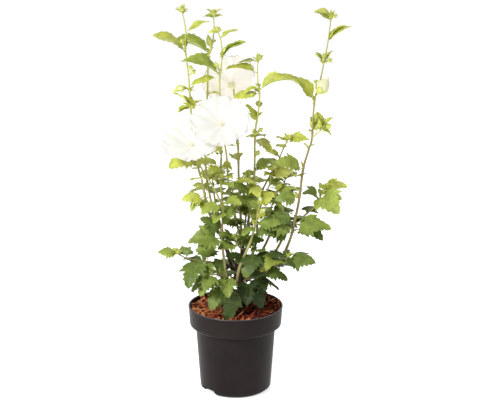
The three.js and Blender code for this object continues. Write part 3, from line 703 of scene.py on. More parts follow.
BOUGHS: dict[str, Limb] = {
    "bough_front_left": Limb(
        (3, 2.4), ((10, 0, 191), (-6, -20, 215), (-18, -32, 245), (-23, -32, 281), (-28, -30, 321)),
    ),
    "bough_left": Limb(
        (3.3, 2.4), ((12, 0, 245), (-5, 1, 267), (-27, 0, 313), (-49, 0, 358), (-58, 0, 383)),
    ),
    "bough_left_back": Limb((2.6, 2.2), ((-24, 0, 306), (-36, 16, 327), (-43, 28, 350), (-52, 30, 397))),
    "bough_middle": Limb((2.9, 2.4), ((12.5, 0, 255), (17, -9, 289), (4, -4, 339), (-7, 2, 381))),
    "bough_back": Limb((3.1, 2.4), ((12.5, 0, 249), (12, 17, 280), (11, 24, 330), (8, 28, 395))),
    "bough_inner_right": Limb((2.9, 2.4), ((13, 0, 257), (22, 3, 295), (25, 5, 345), (31, 9, 389))),
    "bough_right": Limb(
        radii=(3.8, 2.7),
        via=(
            (11.5, 0, 225), (32, -6, 234), (60, -15, 251), (88, -24, 275), (103, -26, 307), (111, -25, 331),
        ),
    ),
    "bough_low_right": Limb(
        (3, 2.2), ((58, -14, 250), (74, 4, 273), (92, 14, 305), (112, 20, 333), (133, 20, 351)),
    ),
    "bough_front": Limb(
        (3.2, 2.2), ((10, 0, 201), (3, -22, 227), (8, -40, 267), (28, -48, 319), (37, -46, 349)),
    ),
    "bough_back_right": Limb((3.4, 2.3), ((12.5, 0, 241), (30, 24, 263), (43, 42, 303), (42, 45, 349))),
    "bough_side_left": Limb((2.6, 1.9), ((12, 0, 251), (-18, -13, 262), (-38, -20, 268), (-52, -22, 272))),
    "bough_rear_left": Limb((3.4, 2.2), ((10.5, 0, 210), (-8, 34, 245), (-26, 62, 295), (-34, 76, 335))),
    "bough_rear_right": Limb((3.4, 2.2), ((11, 0, 217), (34, 34, 245), (62, 60, 285), (78, 74, 323))),
}

SHOOTS: dict[str, Limb] = {
    "foliage_front_left": Limb(
        radii=(2.4, 1.1),
        via=(
            (-28, -30, 321), (-26, -27, 350), (-25, -25, 383), (-30, -18, 446), (-28, -8, 491),
            (-31, 0, 613), (-30, -4, 649), (-26, -8, 681), (-28, -10, 713), (-34, -10, 731),
        ),
        leaves=(
            (0.05, 192, -4, 68, 40), (0.1, 213, -18, 60, 20), (0.35, 172, 36, 54, 30),
            (0.5, 300, -20, 34, 0), (1.8, 248, -13, 46, 0), (2.8, 308, -5, 40, 0), (3.5, 222, -16, 30, 30),
            (3.6, 330, -18, 28, -20), (4.15, 231, -17, 48, 20), (5.9, 184, 19, 82, 18),
            (7, 352, 32, 58, -20), (8.2, 0, 26, 38, -20), (8.8, 182, 0, 22, 20),
        ),
        buds=((6.1, 200, 62, 10, 12), (7.1, 20, 60, 8, 13), (9, 180, 35, 3, 9)),
        fill=Fill(11, 4, 2.4, 7, (38, 28)),
    ),
    "foliage_left": Limb(
        radii=(2.4, 1.1),
        via=(
            (-58, 0, 383), (-62, 0, 409), (-67, 0, 436), (-74, 0, 463), (-87, 5, 572), (-91, 5, 636),
            (-97, 5, 695), (-96, 5, 729), (-102, 5, 767),
        ),
        leaves=(
            (0.6, 188, -4, 48, 35), (0.7, 214, -40, 42, 0), (0.3, 262, -30, 34, 0), (2.9, 203, 22, 42, 20),
            (3.2, 207, -14, 64, 40), (4.05, 190, -16, 26, 20), (4.1, 330, -20, 28, -20),
            (4.7, 182, -22, 38, 30), (4.75, 356, 18, 56, -22), (5.85, 181, 27, 76, 18),
            (6.9, 358, 26, 54, -20), (7.9, 165, 30, 18, 0), (7.9, 350, 40, 16, 0),
        ),
        buds=(
            (4.65, 205, 10, 10, 15), (5.1, 5, 40, 7, 12), (5.2, 330, 62, 8, 10), (6.05, 170, 62, 8, 12),
            (8, 80, 80, 3, 9),
        ),
        fill=Fill(23, 4, 1.2, 6.2, (38, 28)),
    ),
    "foliage_left_back": Limb(
        radii=(2.1, 1.1),
        via=(
            (-52, 30, 397), (-59, 30, 445), (-60, 32, 525), (-55, 35, 610), (-54, 35, 668), (-47, 35, 691),
            (-42, 35, 727), (-43, 35, 755),
        ),
        leaves=(
            (0.2, 160, -20, 46, 0), (1.15, 186, 10, 60, 35), (2.4, 150, 10, 44, 0), (4.5, 184, 20, 76, 18),
            (6.8, 182, 8, 22, 20), (6.85, 5, 14, 19, -20),
        ),
        buds=((4.95, 175, 76, 6, 24), (7, 60, 62, 3, 11), (6.9, 140, 50, 5, 9)),
        fill=Fill(31, 5, 0.5, 5.2, (44, 30)),
    ),
    "foliage_inner_right": Limb(
        radii=(2.3, 1.1),
        via=(
            (31, 9, 389), (37, 10, 444), (38, 10, 523), (44, 10, 567), (47, 10, 604), (43.5, 10, 626),
            (42.5, 10, 655), (44, 10, 671),
        ),
        leaves=(
            (0.3, 209, 30, 50, 30), (0.2, 285, -30, 42, 0), (0.45, 262, 56, 24, 0), (1.05, 8, 28, 50, -20),
            (1.9, 318, -28, 50, -10), (1.95, 200, 0, 20, 20), (2.5, 168, 58, 42, 20), (2.75, 20, 40, 18, 0),
            (4.05, 190, -8, 58, 22), (4.35, 356, 16, 72, -18), (4.6, 196, -20, 32, 20),
            (5.7, 184, 8, 62, 18), (6.8, 178, -4, 38, 10),
        ),
        buds=(
            (1.4, 330, 60, 8, 13), (1.95, 100, 60, 6, 11), (2.05, 350, 35, 8, 12), (4.55, 215, -35, 16, 11),
            (7, 350, 70, 3, 10),
        ),
        fill=Fill(43, 4, 0.6, 4.5, (42, 28)),
    ),
    "foliage_right": Limb(
        radii=(2.6, 1.1),
        via=(
            (111, -25, 331), (124, -20, 395), (132, -15, 459), (143, -10, 499), (149, -10, 522),
            (153, -5, 593), (164, 0, 635), (171, 0, 671), (177.5, 0, 707), (183, 0, 755),
        ),
        leaves=(
            (0.1, 347, 6, 78, -30), (0.05, 342, -11, 64, -20), (0.12, 200, 14, 76, 35),
            (0.02, 184, -6, 56, 20), (0.25, 45, 10, 42, 0), (0.5, 186, 4, 56, 40), (1.12, 190, -2, 50, 40),
            (1.3, 176, 12, 22, 0), (2.02, 205, 16, 66, 40), (4.2, 176, 24, 14, 0), (5, 182, 25, 88, 18),
            (6.8, 152, 44, 30, 0), (6.9, 28, 48, 32, 0), (8.1, 2, 31, 54, -20), (9, 178, 22, 36, 20),
        ),
        buds=(
            (1.05, 150, 60, 6, 12), (5.15, 352, 58, 9, 34), (7, 100, 76, 5, 13), (6.9, 350, 30, 9, 11),
            (9, 350, 40, 4, 11), (8.95, 60, 66, 3, 9),
        ),
        fill=Fill(59, 6, 0.4, 7, (44, 26)),
    ),
    "foliage_right_side": Limb(
        (1.5, 1), ((149, -10, 522), (158, -13, 531), (171, -15, 542)),
        leaves=((1.5, 155, 62, 40, 0), (1.9, 22, 42, 32, 0), (1.8, 320, -20, 24, 0)),
        buds=((2, 350, 26, 4, 14), (1.9, 200, 50, 5, 10), (1.6, 330, 60, 6, 9)),
    ),
    "foliage_low_right": Limb(
        (2.1, 1.2), ((133, 20, 351), (155, 20, 372), (166, 20, 389), (176, 20, 410)),
        leaves=(
            (2, 220, 22, 50, 30), (2.2, 297, -11, 78, -35), (2.6, 340, -14, 42, -30), (2.9, 5, 6, 48, 66),
            (2.2, 60, 0, 44, 0),
        ),
        buds=((3, 350, 50, 5, 13), (2.95, 170, 50, 5, 11), (2.7, 20, 30, 9, 12)),
        fill=Fill(67, 2, 0.4, 2.4, (46, 36)),
    ),
    "foliage_front": Limb(
        (2.1, 1.2), ((37, -46, 349), (41, -45, 365), (44, -43, 381), (48, -40, 396)),
        leaves=(
            (0.1, 336, -18, 44, -20), (0.5, 350, 4, 52, -30), (0.9, 180, 32, 16, 0), (0.2, 233, -14, 42, 0),
            (1.9, 20, 10, 30, -20),
        ),
        buds=((3, 280, 70, 3, 13), (1.5, 340, 45, 8, 12)),
    ),
    "foliage_centre_right": Limb(
        (1.9, 1.2), ((25, 4, 337), (44, 6, 367), (60, 10, 403), (70, 13, 432), (72, 14, 451)),
        leaves=(
            (1.3, 250, -34, 48, 0), (1.7, 330, -24, 48, 0), (2.3, 262, -38, 44, 0), (3, 2, 15, 54, -15),
            (3.2, 242, 17, 34, 20), (2.4, 40, 10, 44, 0),
        ),
        buds=((4, 0, 60, 3, 12), (3.9, 200, 50, 4, 10)),
        fill=Fill(73, 2, 1, 3, (46, 38)),
    ),
    "foliage_mid_right": Limb(
        (1.9, 1.2), ((43, 44, 309), (57, 32, 335), (66, 22, 357), (74, 14, 383), (84, 8, 413)),
        leaves=((1.2, 338, -12, 52, -30), (2.2, 352, 6, 50, -30), (3.6, 350, 25, 44, -30)),
        buds=((4, 350, 62, 3, 13),),
        fill=Fill(79, 3, 0.6, 3, (48, 38)),
    ),
    "foliage_back_right": Limb(
        radii=(2.2, 1.1),
        via=((42, 45, 349), (50, 46, 389), (64, 44, 423), (80, 40, 450), (92, 40, 481), (103, 40, 505)),
        leaves=(
            (0.3, 120, -10, 50, 0), (1.4, 150, 0, 46, 0), (2.5, 60, 6, 48, 0), (3.6, 160, 18, 34, 10),
            (4.8, 356, 6, 48, -25), (4.9, 172, 20, 24, 10),
        ),
        buds=((5, 0, 60, 3, 12), (4.9, 120, 60, 4, 10)),
        fill=Fill(83, 4, 0.6, 4.2, (48, 32)),
    ),
    "foliage_side_left": Limb(
        (1.8, 1.2), ((-52, -22, 272), (-76, -25, 276), (-96, -27, 281), (-114, -30, 291)),
        leaves=(
            (0.5, 240, -36, 70, 0), (0.3, 269, -35, 50, 0), (0.1, 200, -20, 52, 20), (0.9, 120, -12, 54, 0),
            (2.1, 60, 48, 26, 0), (2.85, 184, 8, 44, 25),
        ),
        buds=((3, 160, 50, 3, 13), (2.7, 120, 30, 6, 11)),
        fill=Fill(89, 2, 0.4, 2, (52, 44)),
    ),
    "foliage_over_rim_left": Limb(
        (1.8, 1.2), ((-17, -31, 243), (-34, -42, 252), (-50, -50, 255)),
        leaves=(
            (0.35, 281, -35, 54, 0), (0.9, 215, -38, 58, 10), (1.6, 252, -32, 54, 0),
            (1.9, 196, -40, 52, 20), (0.7, 120, 34, 38, 0), (1.7, 250, -10, 48, 10),
        ),
    ),
    "foliage_over_rim_front": Limb(
        (1.9, 1.2), ((10, 0, 209), (-4, -28, 229), (-18, -48, 235)),
        leaves=((1.9, 221, -35, 62, 10), (1.95, 268, -50, 74, 40)),
    ),
    "foliage_over_rim_right": Limb(
        (1.9, 1.2), ((11, 0, 223), (34, -24, 241), (54, -34, 255)),
        leaves=(
            (0.45, 271, -45, 58, 0), (0.6, 318, -58, 66, -10), (0.9, 302, -23, 50, -10),
            (1.4, 297, -30, 44, 0), (1.9, 350, -16, 54, -20), (1.7, 262, 4, 46, 0),
        ),
    ),
    "foliage_heart": Limb(
        (1.8, 1.2), ((12.5, 0, 247), (26, -18, 275), (36, -30, 297)),
        leaves=(
            (1.5, 219, -40, 48, 0), (1.9, 263, -33, 58, 0), (1.7, 330, -18, 52, -20), (1, 200, 10, 48, 20),
            (1.95, 300, 16, 46, 0),
        ),
    ),
    "foliage_right_arm": Limb(
        (1.9, 1.2), ((86, -23, 273), (95, -36, 282), (104, -46, 291)),
        leaves=(
            (0.9, 234, -20, 62, 10), (1.5, 330, -1, 66, -30), (1.3, 160, 20, 36, 0), (1.9, 301, -30, 42, 0),
            (1.7, 210, 12, 46, 20),
        ),
        fill=Fill(107, 2, 0.8, 1.8, (40, 50)),
    ),
    "foliage_centre": Limb(
        (1.8, 1.2), ((16, -8, 293), (6, -30, 307), (-2, -44, 327)),
        leaves=(
            (0.9, 336, -4, 52, -20), (1.9, 328, 45, 46, -20), (1.4, 25, 32, 46, 0), (1.8, 210, 10, 42, 20),
            (1.2, 190, -20, 48, 20),
        ),
        buds=((2, 270, 60, 3, 11),),
    ),
    "foliage_rear_left": Limb(
        (2.1, 1.2), ((-34, 76, 335), (-42, 86, 369), (-46, 92, 401), (-50, 96, 429)),
        fill=Fill(113, 9, 0.1, 2.9, (64, 40), all_round=True),
    ),
    "foliage_rear_right": Limb(
        (2.1, 1.2), ((78, 74, 323), (90, 82, 355), (97, 87, 385), (101, 92, 413)),
        fill=Fill(127, 9, 0.1, 2.9, (64, 40), all_round=True),
    ),
    "foliage_rear": Limb(
        radii=(2.6, 1.3),
        via=((11, 0, 205), (8, 30, 231), (12, 56, 273), (20, 78, 327), (24, 88, 377), (24, 94, 415)),
        fill=Fill(131, 12, 1, 4.9, (66, 40), all_round=True),
    ),
    "foliage_over_rim_back": Limb(
        (1.9, 1.2), ((10, 0, 203), (-6, 26, 221), (-26, 46, 233), (-44, 58, 237)),
        fill=Fill(137, 6, 0.8, 2.9, (64, 54), all_round=True),
    ),
    "foliage_over_rim_back_right": Limb(
        (1.9, 1.2), ((11, 0, 207), (28, 24, 221), (50, 42, 231), (70, 52, 235)),
        fill=Fill(139, 6, 0.8, 2.9, (64, 54), all_round=True),
    ),
}

FLOWERING_TWIGS: dict[str, Limb] = {
    "flowering_twig_left": Limb(
        (1.8, 1.5), ((-25, -25, 385), (-36, -33, 413), (-50, -35, 441), (-68, -32, 469), (-84, -24, 495)),
        face=(260, 58),
        radius=56,
    ),
    "flowering_twig_middle": Limb(
        (2.4, 1.6), ((-7, 2, 381), (-15, 0, 436), (-18, -9, 489), (-27, -20, 539)),
        leaves=((0.35, 328, -25, 54, 0), (1.2, 350, 0, 18, 0)),
        face=(264, 45),
        radius=59,
    ),
    "flowering_twig_back": Limb(
        (2.4, 1.6), ((8, 28, 395), (6, 30, 435), (5, 32, 494), (0, 34, 565), (-4, 30, 611)),
        leaves=((2, 200, 5, 22, 0), (0.6, 60, 0, 46, 0), (1.5, 110, 6, 46, 0), (2.6, 80, 10, 40, 0)),
        face=(108, 24),
        radius=56,
    ),
}

# ---- leaves


@dataclass(frozen=True)
class LeafSizes:
    """Sizes that all leaves of the solids share: stalk, thickness, bend, ages by height, lobes."""

    stalk: float = 0.24
    thickness: float = 0.024
    droop: float = np.radians(52)
    young_width: float = 0.56
    old_below: float = 405
    young_above: float = 605
    old_lobes: tuple[Row, ...] = ((0.1, 0.3), (0.38, 0.48), (0.58, 0.24))
    young_lobes: tuple[Row, ...] = ((0.3, 0.46), (0.56, 0.26))

    def youth(self, height: float) -> float:
        """How young a leaf at this height is, from 0 to 1."""
        return float(np.clip((height - self.old_below) / (self.young_above - self.old_below), 0, 1))

    def width(self, youth: float) -> float:
        """Blade width as a share of the outlines."""
        return 1 + (self.young_width - 1) * youth


LEAF = LeafSizes()
# What a leaf adds to its heading and rise, in this order, until it has room.
NUDGES = (
    (0, 0), (0, 13), (0, -13), (17, 0), (-17, 0), (24, 18), (-24, 18), (28, -18), (-28, -18),
    (0, 30), (0, -30),
)


@dataclass(frozen=True)
class LeafPose:
    """Where a leaf stands: its foot, and the heading, rise, length and roll of its chord."""

    foot: Array
    heading: float
    rise: float
    length: float
    roll: float
    droop: float = LEAF.droop

    @property
    def arc(self) -> float:
        """Length of the leaf along its bend: chord (d / 2) / sin(d / 2) for a droop d."""
        return self.length * self.droop / 2 / np.sin(self.droop / 2)

    @property
    def youth(self) -> float:
        """How young the leaf is, from 0 to 1."""
        return LEAF.youth(float(self.foot[2]))

    def turn(self) -> Array:
        """Rotation about Z by the heading, Y by minus the rise and X by minus the roll.

        Returns:
            The product of the three rotations, X first.
        """
        h, r, k = np.radians([self.heading, -self.rise, -self.roll])
        about_z = np.array([[np.cos(h), -np.sin(h), 0], [np.sin(h), np.cos(h), 0], [0, 0, 1]])
        about_y = np.array([[np.cos(r), 0, np.sin(r)], [0, 1, 0], [-np.sin(r), 0, np.cos(r)]])
        about_x = np.array([[1, 0, 0], [0, np.cos(k), -np.sin(k)], [0, np.sin(k), np.cos(k)]])
        return about_z @ about_y @ about_x

    def place(self, share: Array, across: Array, lift: Array) -> Array:
        """Points of a leaf that bends over evenly, with its tip its length away.

        The slope falls from d / 2 to -d / 2; ahead = arc / d (sin(d / 2) - sin slope),
        up = arc / d (cos slope - cos(d / 2)), and lift stands square to the slope.

        Args:
            share: How far along the leaf, from 0 at its foot to 1 at its tip.
            across: How far to its left, in mm.
            lift: How far above its bend, in mm.

        Returns:
            Points in the part's frame.
        """
        share, across, lift = np.broadcast_arrays(share, across, lift)
        slope = self.droop * (0.5 - share)
        bend = self.arc / self.droop
        ahead = bend * (np.sin(self.droop / 2) - np.sin(slope)) - lift * np.sin(slope)
        up = bend * (np.cos(slope) - np.cos(self.droop / 2)) + lift * np.cos(slope)
        return np.stack([ahead, across, up], axis=-1) @ self.turn().T + self.foot

    def solid_corners(self) -> Array:
        """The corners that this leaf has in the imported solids.

        Returns:
            The midrib's and both sides' corners at each lobe, and the tip.
        """
        size = self.arc * (1 - LEAF.stalk)
        width = LEAF.width(self.youth)
        lobes = np.array(LEAF.young_lobes if self.youth > 0.5 else LEAF.old_lobes)
        share = LEAF.stalk + (1 - LEAF.stalk) * lobes[:, 0]
        out = size * width * lobes[:, 1]
        thick = np.full(len(lobes), size * LEAF.thickness)
        middle = self.place(share, 0, thick)
        sides = [self.place(share, sign * out, 0) for sign in (-1, 1)]
        return np.concatenate([middle, *sides, self.place(np.ones(1), 0, 0)])


@dataclass(frozen=True)
class Blade:
    """Outline and relief of a leaf blade, in shares of its length.

    Each row runs from a place on the midrib to a place on the margin, which old, plain and
    young give as share along and half width. Odd rows end in a tooth, row 7 in the side
    lobe. An old leaf lies between old, which is lobed, and plain.
    """

    midrib: Row = (0, 0.03, 0.07, 0.12, 0.18, 0.24, 0.3, 0.36, 0.42, 0.48, 0.55, 0.62, 0.7, 0.79, 0.88)
    old: tuple[Row, ...] = (
        (0, 0.02), (0, 0.15), (0.05, 0.25), (0.13, 0.39), (0.18, 0.35), (0.32, 0.49), (0.36, 0.4),
        (0.53, 0.53), (0.48, 0.25), (0.62, 0.3), (0.64, 0.2), (0.77, 0.21), (0.79, 0.13), (0.89, 0.12),
        (0.94, 0.06),
    )
    plain: tuple[Row, ...] = (
        (0, 0.02), (0.01, 0.15), (0.06, 0.26), (0.14, 0.36), (0.21, 0.37), (0.31, 0.45), (0.36, 0.42),
        (0.46, 0.47), (0.49, 0.41), (0.57, 0.4), (0.6, 0.33), (0.7, 0.31), (0.76, 0.24), (0.85, 0.19),
        (0.92, 0.11),
    )
    young: tuple[Row, ...] = (
        (0, 0.02), (0.04, 0.06), (0.1, 0.11), (0.18, 0.17), (0.22, 0.16), (0.34, 0.21), (0.37, 0.185),
        (0.5, 0.21), (0.51, 0.17), (0.62, 0.17), (0.64, 0.13), (0.76, 0.125), (0.78, 0.09), (0.88, 0.07),
        (0.93, 0.035),
    )
    veined: tuple[int, ...] = (3, 7, 11)
    half_columns: int = 2
    every: int = 1
    folds: tuple[float, float] = (-0.15, 0.6)
    young_fold: float = 0.25
    sags: tuple[float, float] = (0.1, 1.0)
    twist: float = 0.45
    skew: float = 0.07
    plainest: float = 0.4
    young_widths: tuple[float, float] = (-0.05, 0.4)
    quilt: float = 0.02
    young_quilt: float = 0.25
    wave: float = 0.035

    def grid(self, youth: float, rng: np.random.Generator) -> tuple[Array, Array, Array]:
        """Along, across and lift of the blade's points, without its tip.

        With u from 1 to -1 across, along = m + (a - m) |u| and y = w u for a midrib place m
        and a margin place (a, w), and the skew makes one side wider. Lift = fold |y| - sag y2
        + twist y (along - 0.4) + quilt (1 on even rows, -1 on odd) 4 |u| (1 - 0.8 |u|)
        + wave u2 sin(9 along + phase + 1.3 u), and the last two fade out at the leaf's foot.

        Args:
            youth: How young the leaf is, from 0 to 1.
            rng: Source of the leaf's fold, sag, twist and wave.

        Returns:
            Three arrays by row and column.
        """
        fold = rng.uniform(*self.folds) + self.young_fold * youth
        sag = rng.uniform(*self.sags)
        twist = rng.normal(0, self.twist)
        phase = rng.uniform(0, TURN)
        skew = rng.normal(0, self.skew)
        plainness = rng.uniform(0, self.plainest)
        grown = (1 - plainness) * np.array(self.old) + plainness * np.array(self.plain)
        margin = ((1 - youth) * grown + youth * np.array(self.young))[:: self.every]
        margin[:, 1] *= 1 + youth * rng.uniform(*self.young_widths)
        middle = np.array(self.midrib)[:: self.every, None]
        u = np.linspace(1, -1, 2 * self.half_columns + 1)
        reach = np.abs(u)
        along = middle + (margin[:, :1] - middle) * reach
        across = margin[:, 1:] * u * (1 + skew * np.sign(u))
        vein = np.where(np.arange(len(margin)) % 2, -1.0, 1.0)[:, None]
        quilt = self.quilt * (1 - youth + self.young_quilt * youth) * vein * 4 * reach * (1 - 0.8 * reach)
        quilt = quilt * np.clip(margin[:, 1:] * 5, 0, 1)
        wave = self.wave * u**2 * np.sin(9 * along + phase + 1.3 * u) * np.clip(along * 6, 0, 1)
        lift = fold * np.abs(across) - sag * across**2 + twist * across * (along - 0.4)
        return along, across, lift + quilt + wave


FULL_BLADE = Blade()
SMALL_BLADE = Blade(half_columns=1, every=3, quilt=0.0)
NARROWNESS = 0.66
NARROW_BLADE = replace(SMALL_BLADE, young=tuple((along, wide * NARROWNESS) for along, wide in Blade.young))


class Foliage:
    """All leaves: blades in their tones, and stalks that run on as midribs."""

    old_stalk = 0.2
    young_stalk = 0.11
    # Places along a leaf from foot to tip, and the radius there of a leaf of this length, in
    # mm. The blade's start, which differs from leaf to leaf, comes third in both.
    stalk_rings = (0, 0.08, 0.34, 0.5, 0.7, 0.94)
    stalk_places = (0, 0.08, 0.4, 1)
    stalk_radii = (1.15, 0.8, 0.62, 0.42, 0.14)
    stalk_length = 55
    stalk_sides = 5
    veined_length = 34
    vein_share = 1 / 210
    vein_sides = 4

    def __init__(self) -> None:
        """Starts with no leaves."""
        self.blades = Patches()
        self.stalks = Patches()
        self.rng = np.random.default_rng(5)

    def leaf(
        self, pose: LeafPose, tone: int, blade: Blade = FULL_BLADE, youth: float | None = None
    ) -> None:
        """Adds one leaf.

        Args:
            pose: Where it stands.
            tone: Number of its finish.
            blade: Its outline.
            youth: How young it is, from 0 to 1, where its height doesn't say.
        """
        youth = pose.youth if youth is None else youth
        stalk = self.old_stalk + (self.young_stalk - self.old_stalk) * youth
        size = pose.arc * (1 - stalk)
        along, across, lift = blade.grid(youth, self.rng)
        points = pose.place(stalk + (1 - stalk) * along, across * size, lift * size)
        tip = pose.place(np.ones(1), 0, 0)
        rows, columns = along.shape
        last = np.arange((rows - 1) * columns, rows * columns)
        faces = np.concatenate([net(rows, columns), fan(last, rows * columns)])
        self.blades.add(np.concatenate([points.reshape(-1, 3), tip]), faces, tone)
        self.stalk(pose, stalk, tone)
        if blade is FULL_BLADE and pose.length > self.veined_length:
            for number in blade.veined:
                row = points[number]
                for side in (row[blade.half_columns :], row[blade.half_columns :: -1]):
                    self.vein(side, pose.length * self.vein_share, tone)

    def stalk(self, pose: LeafPose, start: float, tone: int) -> None:
        """Adds the stalk and midrib of a leaf: one thin tube that tapers to the tip.

        Args:
            pose: Where the leaf stands.
            start: Where its blade starts, as a share of its length.
            tone: Number of its finish.
        """
        share = np.insert(np.array(self.stalk_rings), 2, start)
        places = np.insert(np.array(self.stalk_places, float), 2, start)
        radius = np.interp(share, places, self.stalk_radii) * pose.length / self.stalk_length
        path = pose.place(share, 0, -0.15 * radius)
        points, faces = capped(tube(path, radius, self.stalk_sides))
        self.stalks.add(points, faces, tone)

    def vein(self, row: Array, radius: float, tone: int) -> None:
        """Adds one side vein along a row of the blade's points, from midrib to lobe."""
        points, faces = capped(tube(row, np.linspace(1, 0.3, len(row)) * radius, self.vein_sides))
        self.stalks.add(points, faces, tone)

    def pieces(self) -> list[bpy.types.Object]:
        """Makes the joined pieces."""
        blades = self.blades.piece("leaf_blades", LEAF_TONES, "leaf")
        return [blades, self.stalks.piece("leaf_stalks", RIB_TONES, "leaf")]


SAME_CORNER = 0.1  # mm
FEWEST_CORNERS = 3


def settled(rows: Iterable[Row], limb: Limb, corners: Array) -> list[tuple[float, LeafPose]]:
    """The poses that the leaves of a limb took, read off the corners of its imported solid.

    A leaf tries its nudges in order, and the one with most of its corners in the solid is
    the one it took. A leaf with fewer than three there was left out.

    Args:
        rows: Leaf rows.
        limb: The limb that carries them.
        corners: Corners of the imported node, in mm.

    Returns:
        Place and pose of each leaf that grew.
    """
    poses = []
    for place, heading, rise, length, roll in rows:
        foot = line_at(limb.via, place)
        trials = [LeafPose(foot, heading + turn, rise + tilt, length, roll) for turn, tilt in NUDGES]
        found = []
        for trial in trials:
            apart = np.linalg.norm(trial.solid_corners()[:, None] - corners[None], axis=-1).min(1)
            found.append(int((apart < SAME_CORNER).sum()))
        best = int(np.argmax(found))
        if found[best] >= FEWEST_CORNERS:
            poses.append((place, trials[best]))
    return poses


# ---- limbs


class Woodwork:
    """Trunk, boughs and stems as round tapering limbs, their tone set by height."""

    heights = (240, 300, 350, 520, 640)  # mm, where the tones change
    lowest_stem = 2
    rings = 6  # between two points of a limb
    fall = 9
    buttress = 0.22
    swelling = 0.22
    swollen = 0.045  # of the way between two points of a limb
    strand = 9  # mm of height for one radian of the bark's waves
    unevenness = 0.03  # of the tone, from ring to ring
    nowhere = -9.0  # a place far from every limb's own

    def __init__(self) -> None:
        """Starts with no limbs."""
        self.old = Patches()
        self.stems = Patches()
        self.rng = np.random.default_rng(3)

    def limb(self, limb: Limb, sides: int, relief: float, paleness: float, into: Patches) -> None:
        """Adds one limb.

        Its radius runs evenly from foot to tip, plus flare (1 - t) ** 9 with three
        buttresses, plus relief (sin(2 a + z / 9) + sin(3 a - 1.7 z / 9)
        + 0.6 sin(5 a + 4 z / 9)) for the bark, and swells at each leaf.

        Args:
            limb: Its row in the tables.
            sides: Points in each ring.
            relief: Height of the bark's waves, in mm.
            paleness: How many tones it is paler than its height says.
            into: Where it goes.
        """
        count = len(limb.via) - 1
        places = np.linspace(0, count, self.rings * count + 1)
        share = (places / count)[:, None]
        path = line_at(limb.via, places)
        angle = TURN * np.arange(sides) / sides
        phase = self.rng.uniform(0, TURN, 4)
        radius = limb.radii[0] + (limb.radii[1] - limb.radii[0]) * share
        buttress = 1 + self.buttress * np.cos(3 * angle + phase[3])
        radius = radius + limb.flare * (1 - share) ** self.fall * buttress
        run = path[:, 2:] / self.strand
        bark = np.sin(2 * angle + run + phase[0]) + np.sin(3 * angle - 1.7 * run + phase[1])
        radius = radius + relief * (bark + 0.6 * np.sin(5 * angle + 4 * run + phase[2]))
        nodes = np.array([row[0] for row in limb.leaf_rows()] or [self.nowhere])
        near = np.exp(-(((places[:, None] - nodes) / self.swollen) ** 2)).max(1, keepdims=True)
        radius = radius * (1 + self.swelling * near)
        points, faces = capped(tube(path, radius, sides))
        middle = path[:-1, 2]
        chance = self.rng.normal(0, self.unevenness, len(middle))
        tone = np.searchsorted(self.heights, middle) + paleness + chance
        lowest = self.lowest_stem if into is self.stems else 0
        tone = np.clip(np.round(tone), lowest, len(BARK_TONES) - 1).astype(int)
        ends = np.repeat([tone[0], tone[-1]], sides)
        into.add(points, faces, np.concatenate([np.repeat(tone, sides), ends]))

    def twig(self, foot: Array, tip: Array, radii: tuple[float, float], tone: int) -> None:
        """Adds one thin straight twig, such as the stalk of a bud.

        Args:
            foot: Where it starts.
            tip: Where it ends.
            radii: At foot and tip.
            tone: Number of its finish.
        """
        share = np.linspace(0, 1, 4)
        path = foot + (tip - foot) * share[:, None]
        points, faces = capped(tube(path, radii[0] + (radii[1] - radii[0]) * share, 6))
        self.stems.add(points, faces, tone)

    def pieces(self) -> list[bpy.types.Object]:
        """Makes the joined pieces."""
        old = self.old.piece("trunk_and_boughs", BARK_TONES, "bark")
        return [old, self.stems.piece("stems", BARK_TONES, "stem")]


# ---- buds


class BudKind(Enum):
    """How far a bud has come: its body's finish, how much the sepals cover, and its breadth."""

    GREEN = (0, 0.98, 0.34)
    LONG = (0, 0.98, 0.23)
    CREAM = (1, 0.7, 0.34)
    WHITE = (1, 0.45, 0.34)

    def __init__(self, finish: int, reach: float, breadth: float) -> None:
        """Names the three values.

        Args:
            finish: Number of the body's finish.
            reach: Share of the body that its sepals cover.
            breadth: Greatest radius, as a share of the bud's length.
        """
        self.finish = finish
        self.reach = reach
        self.breadth = breadth


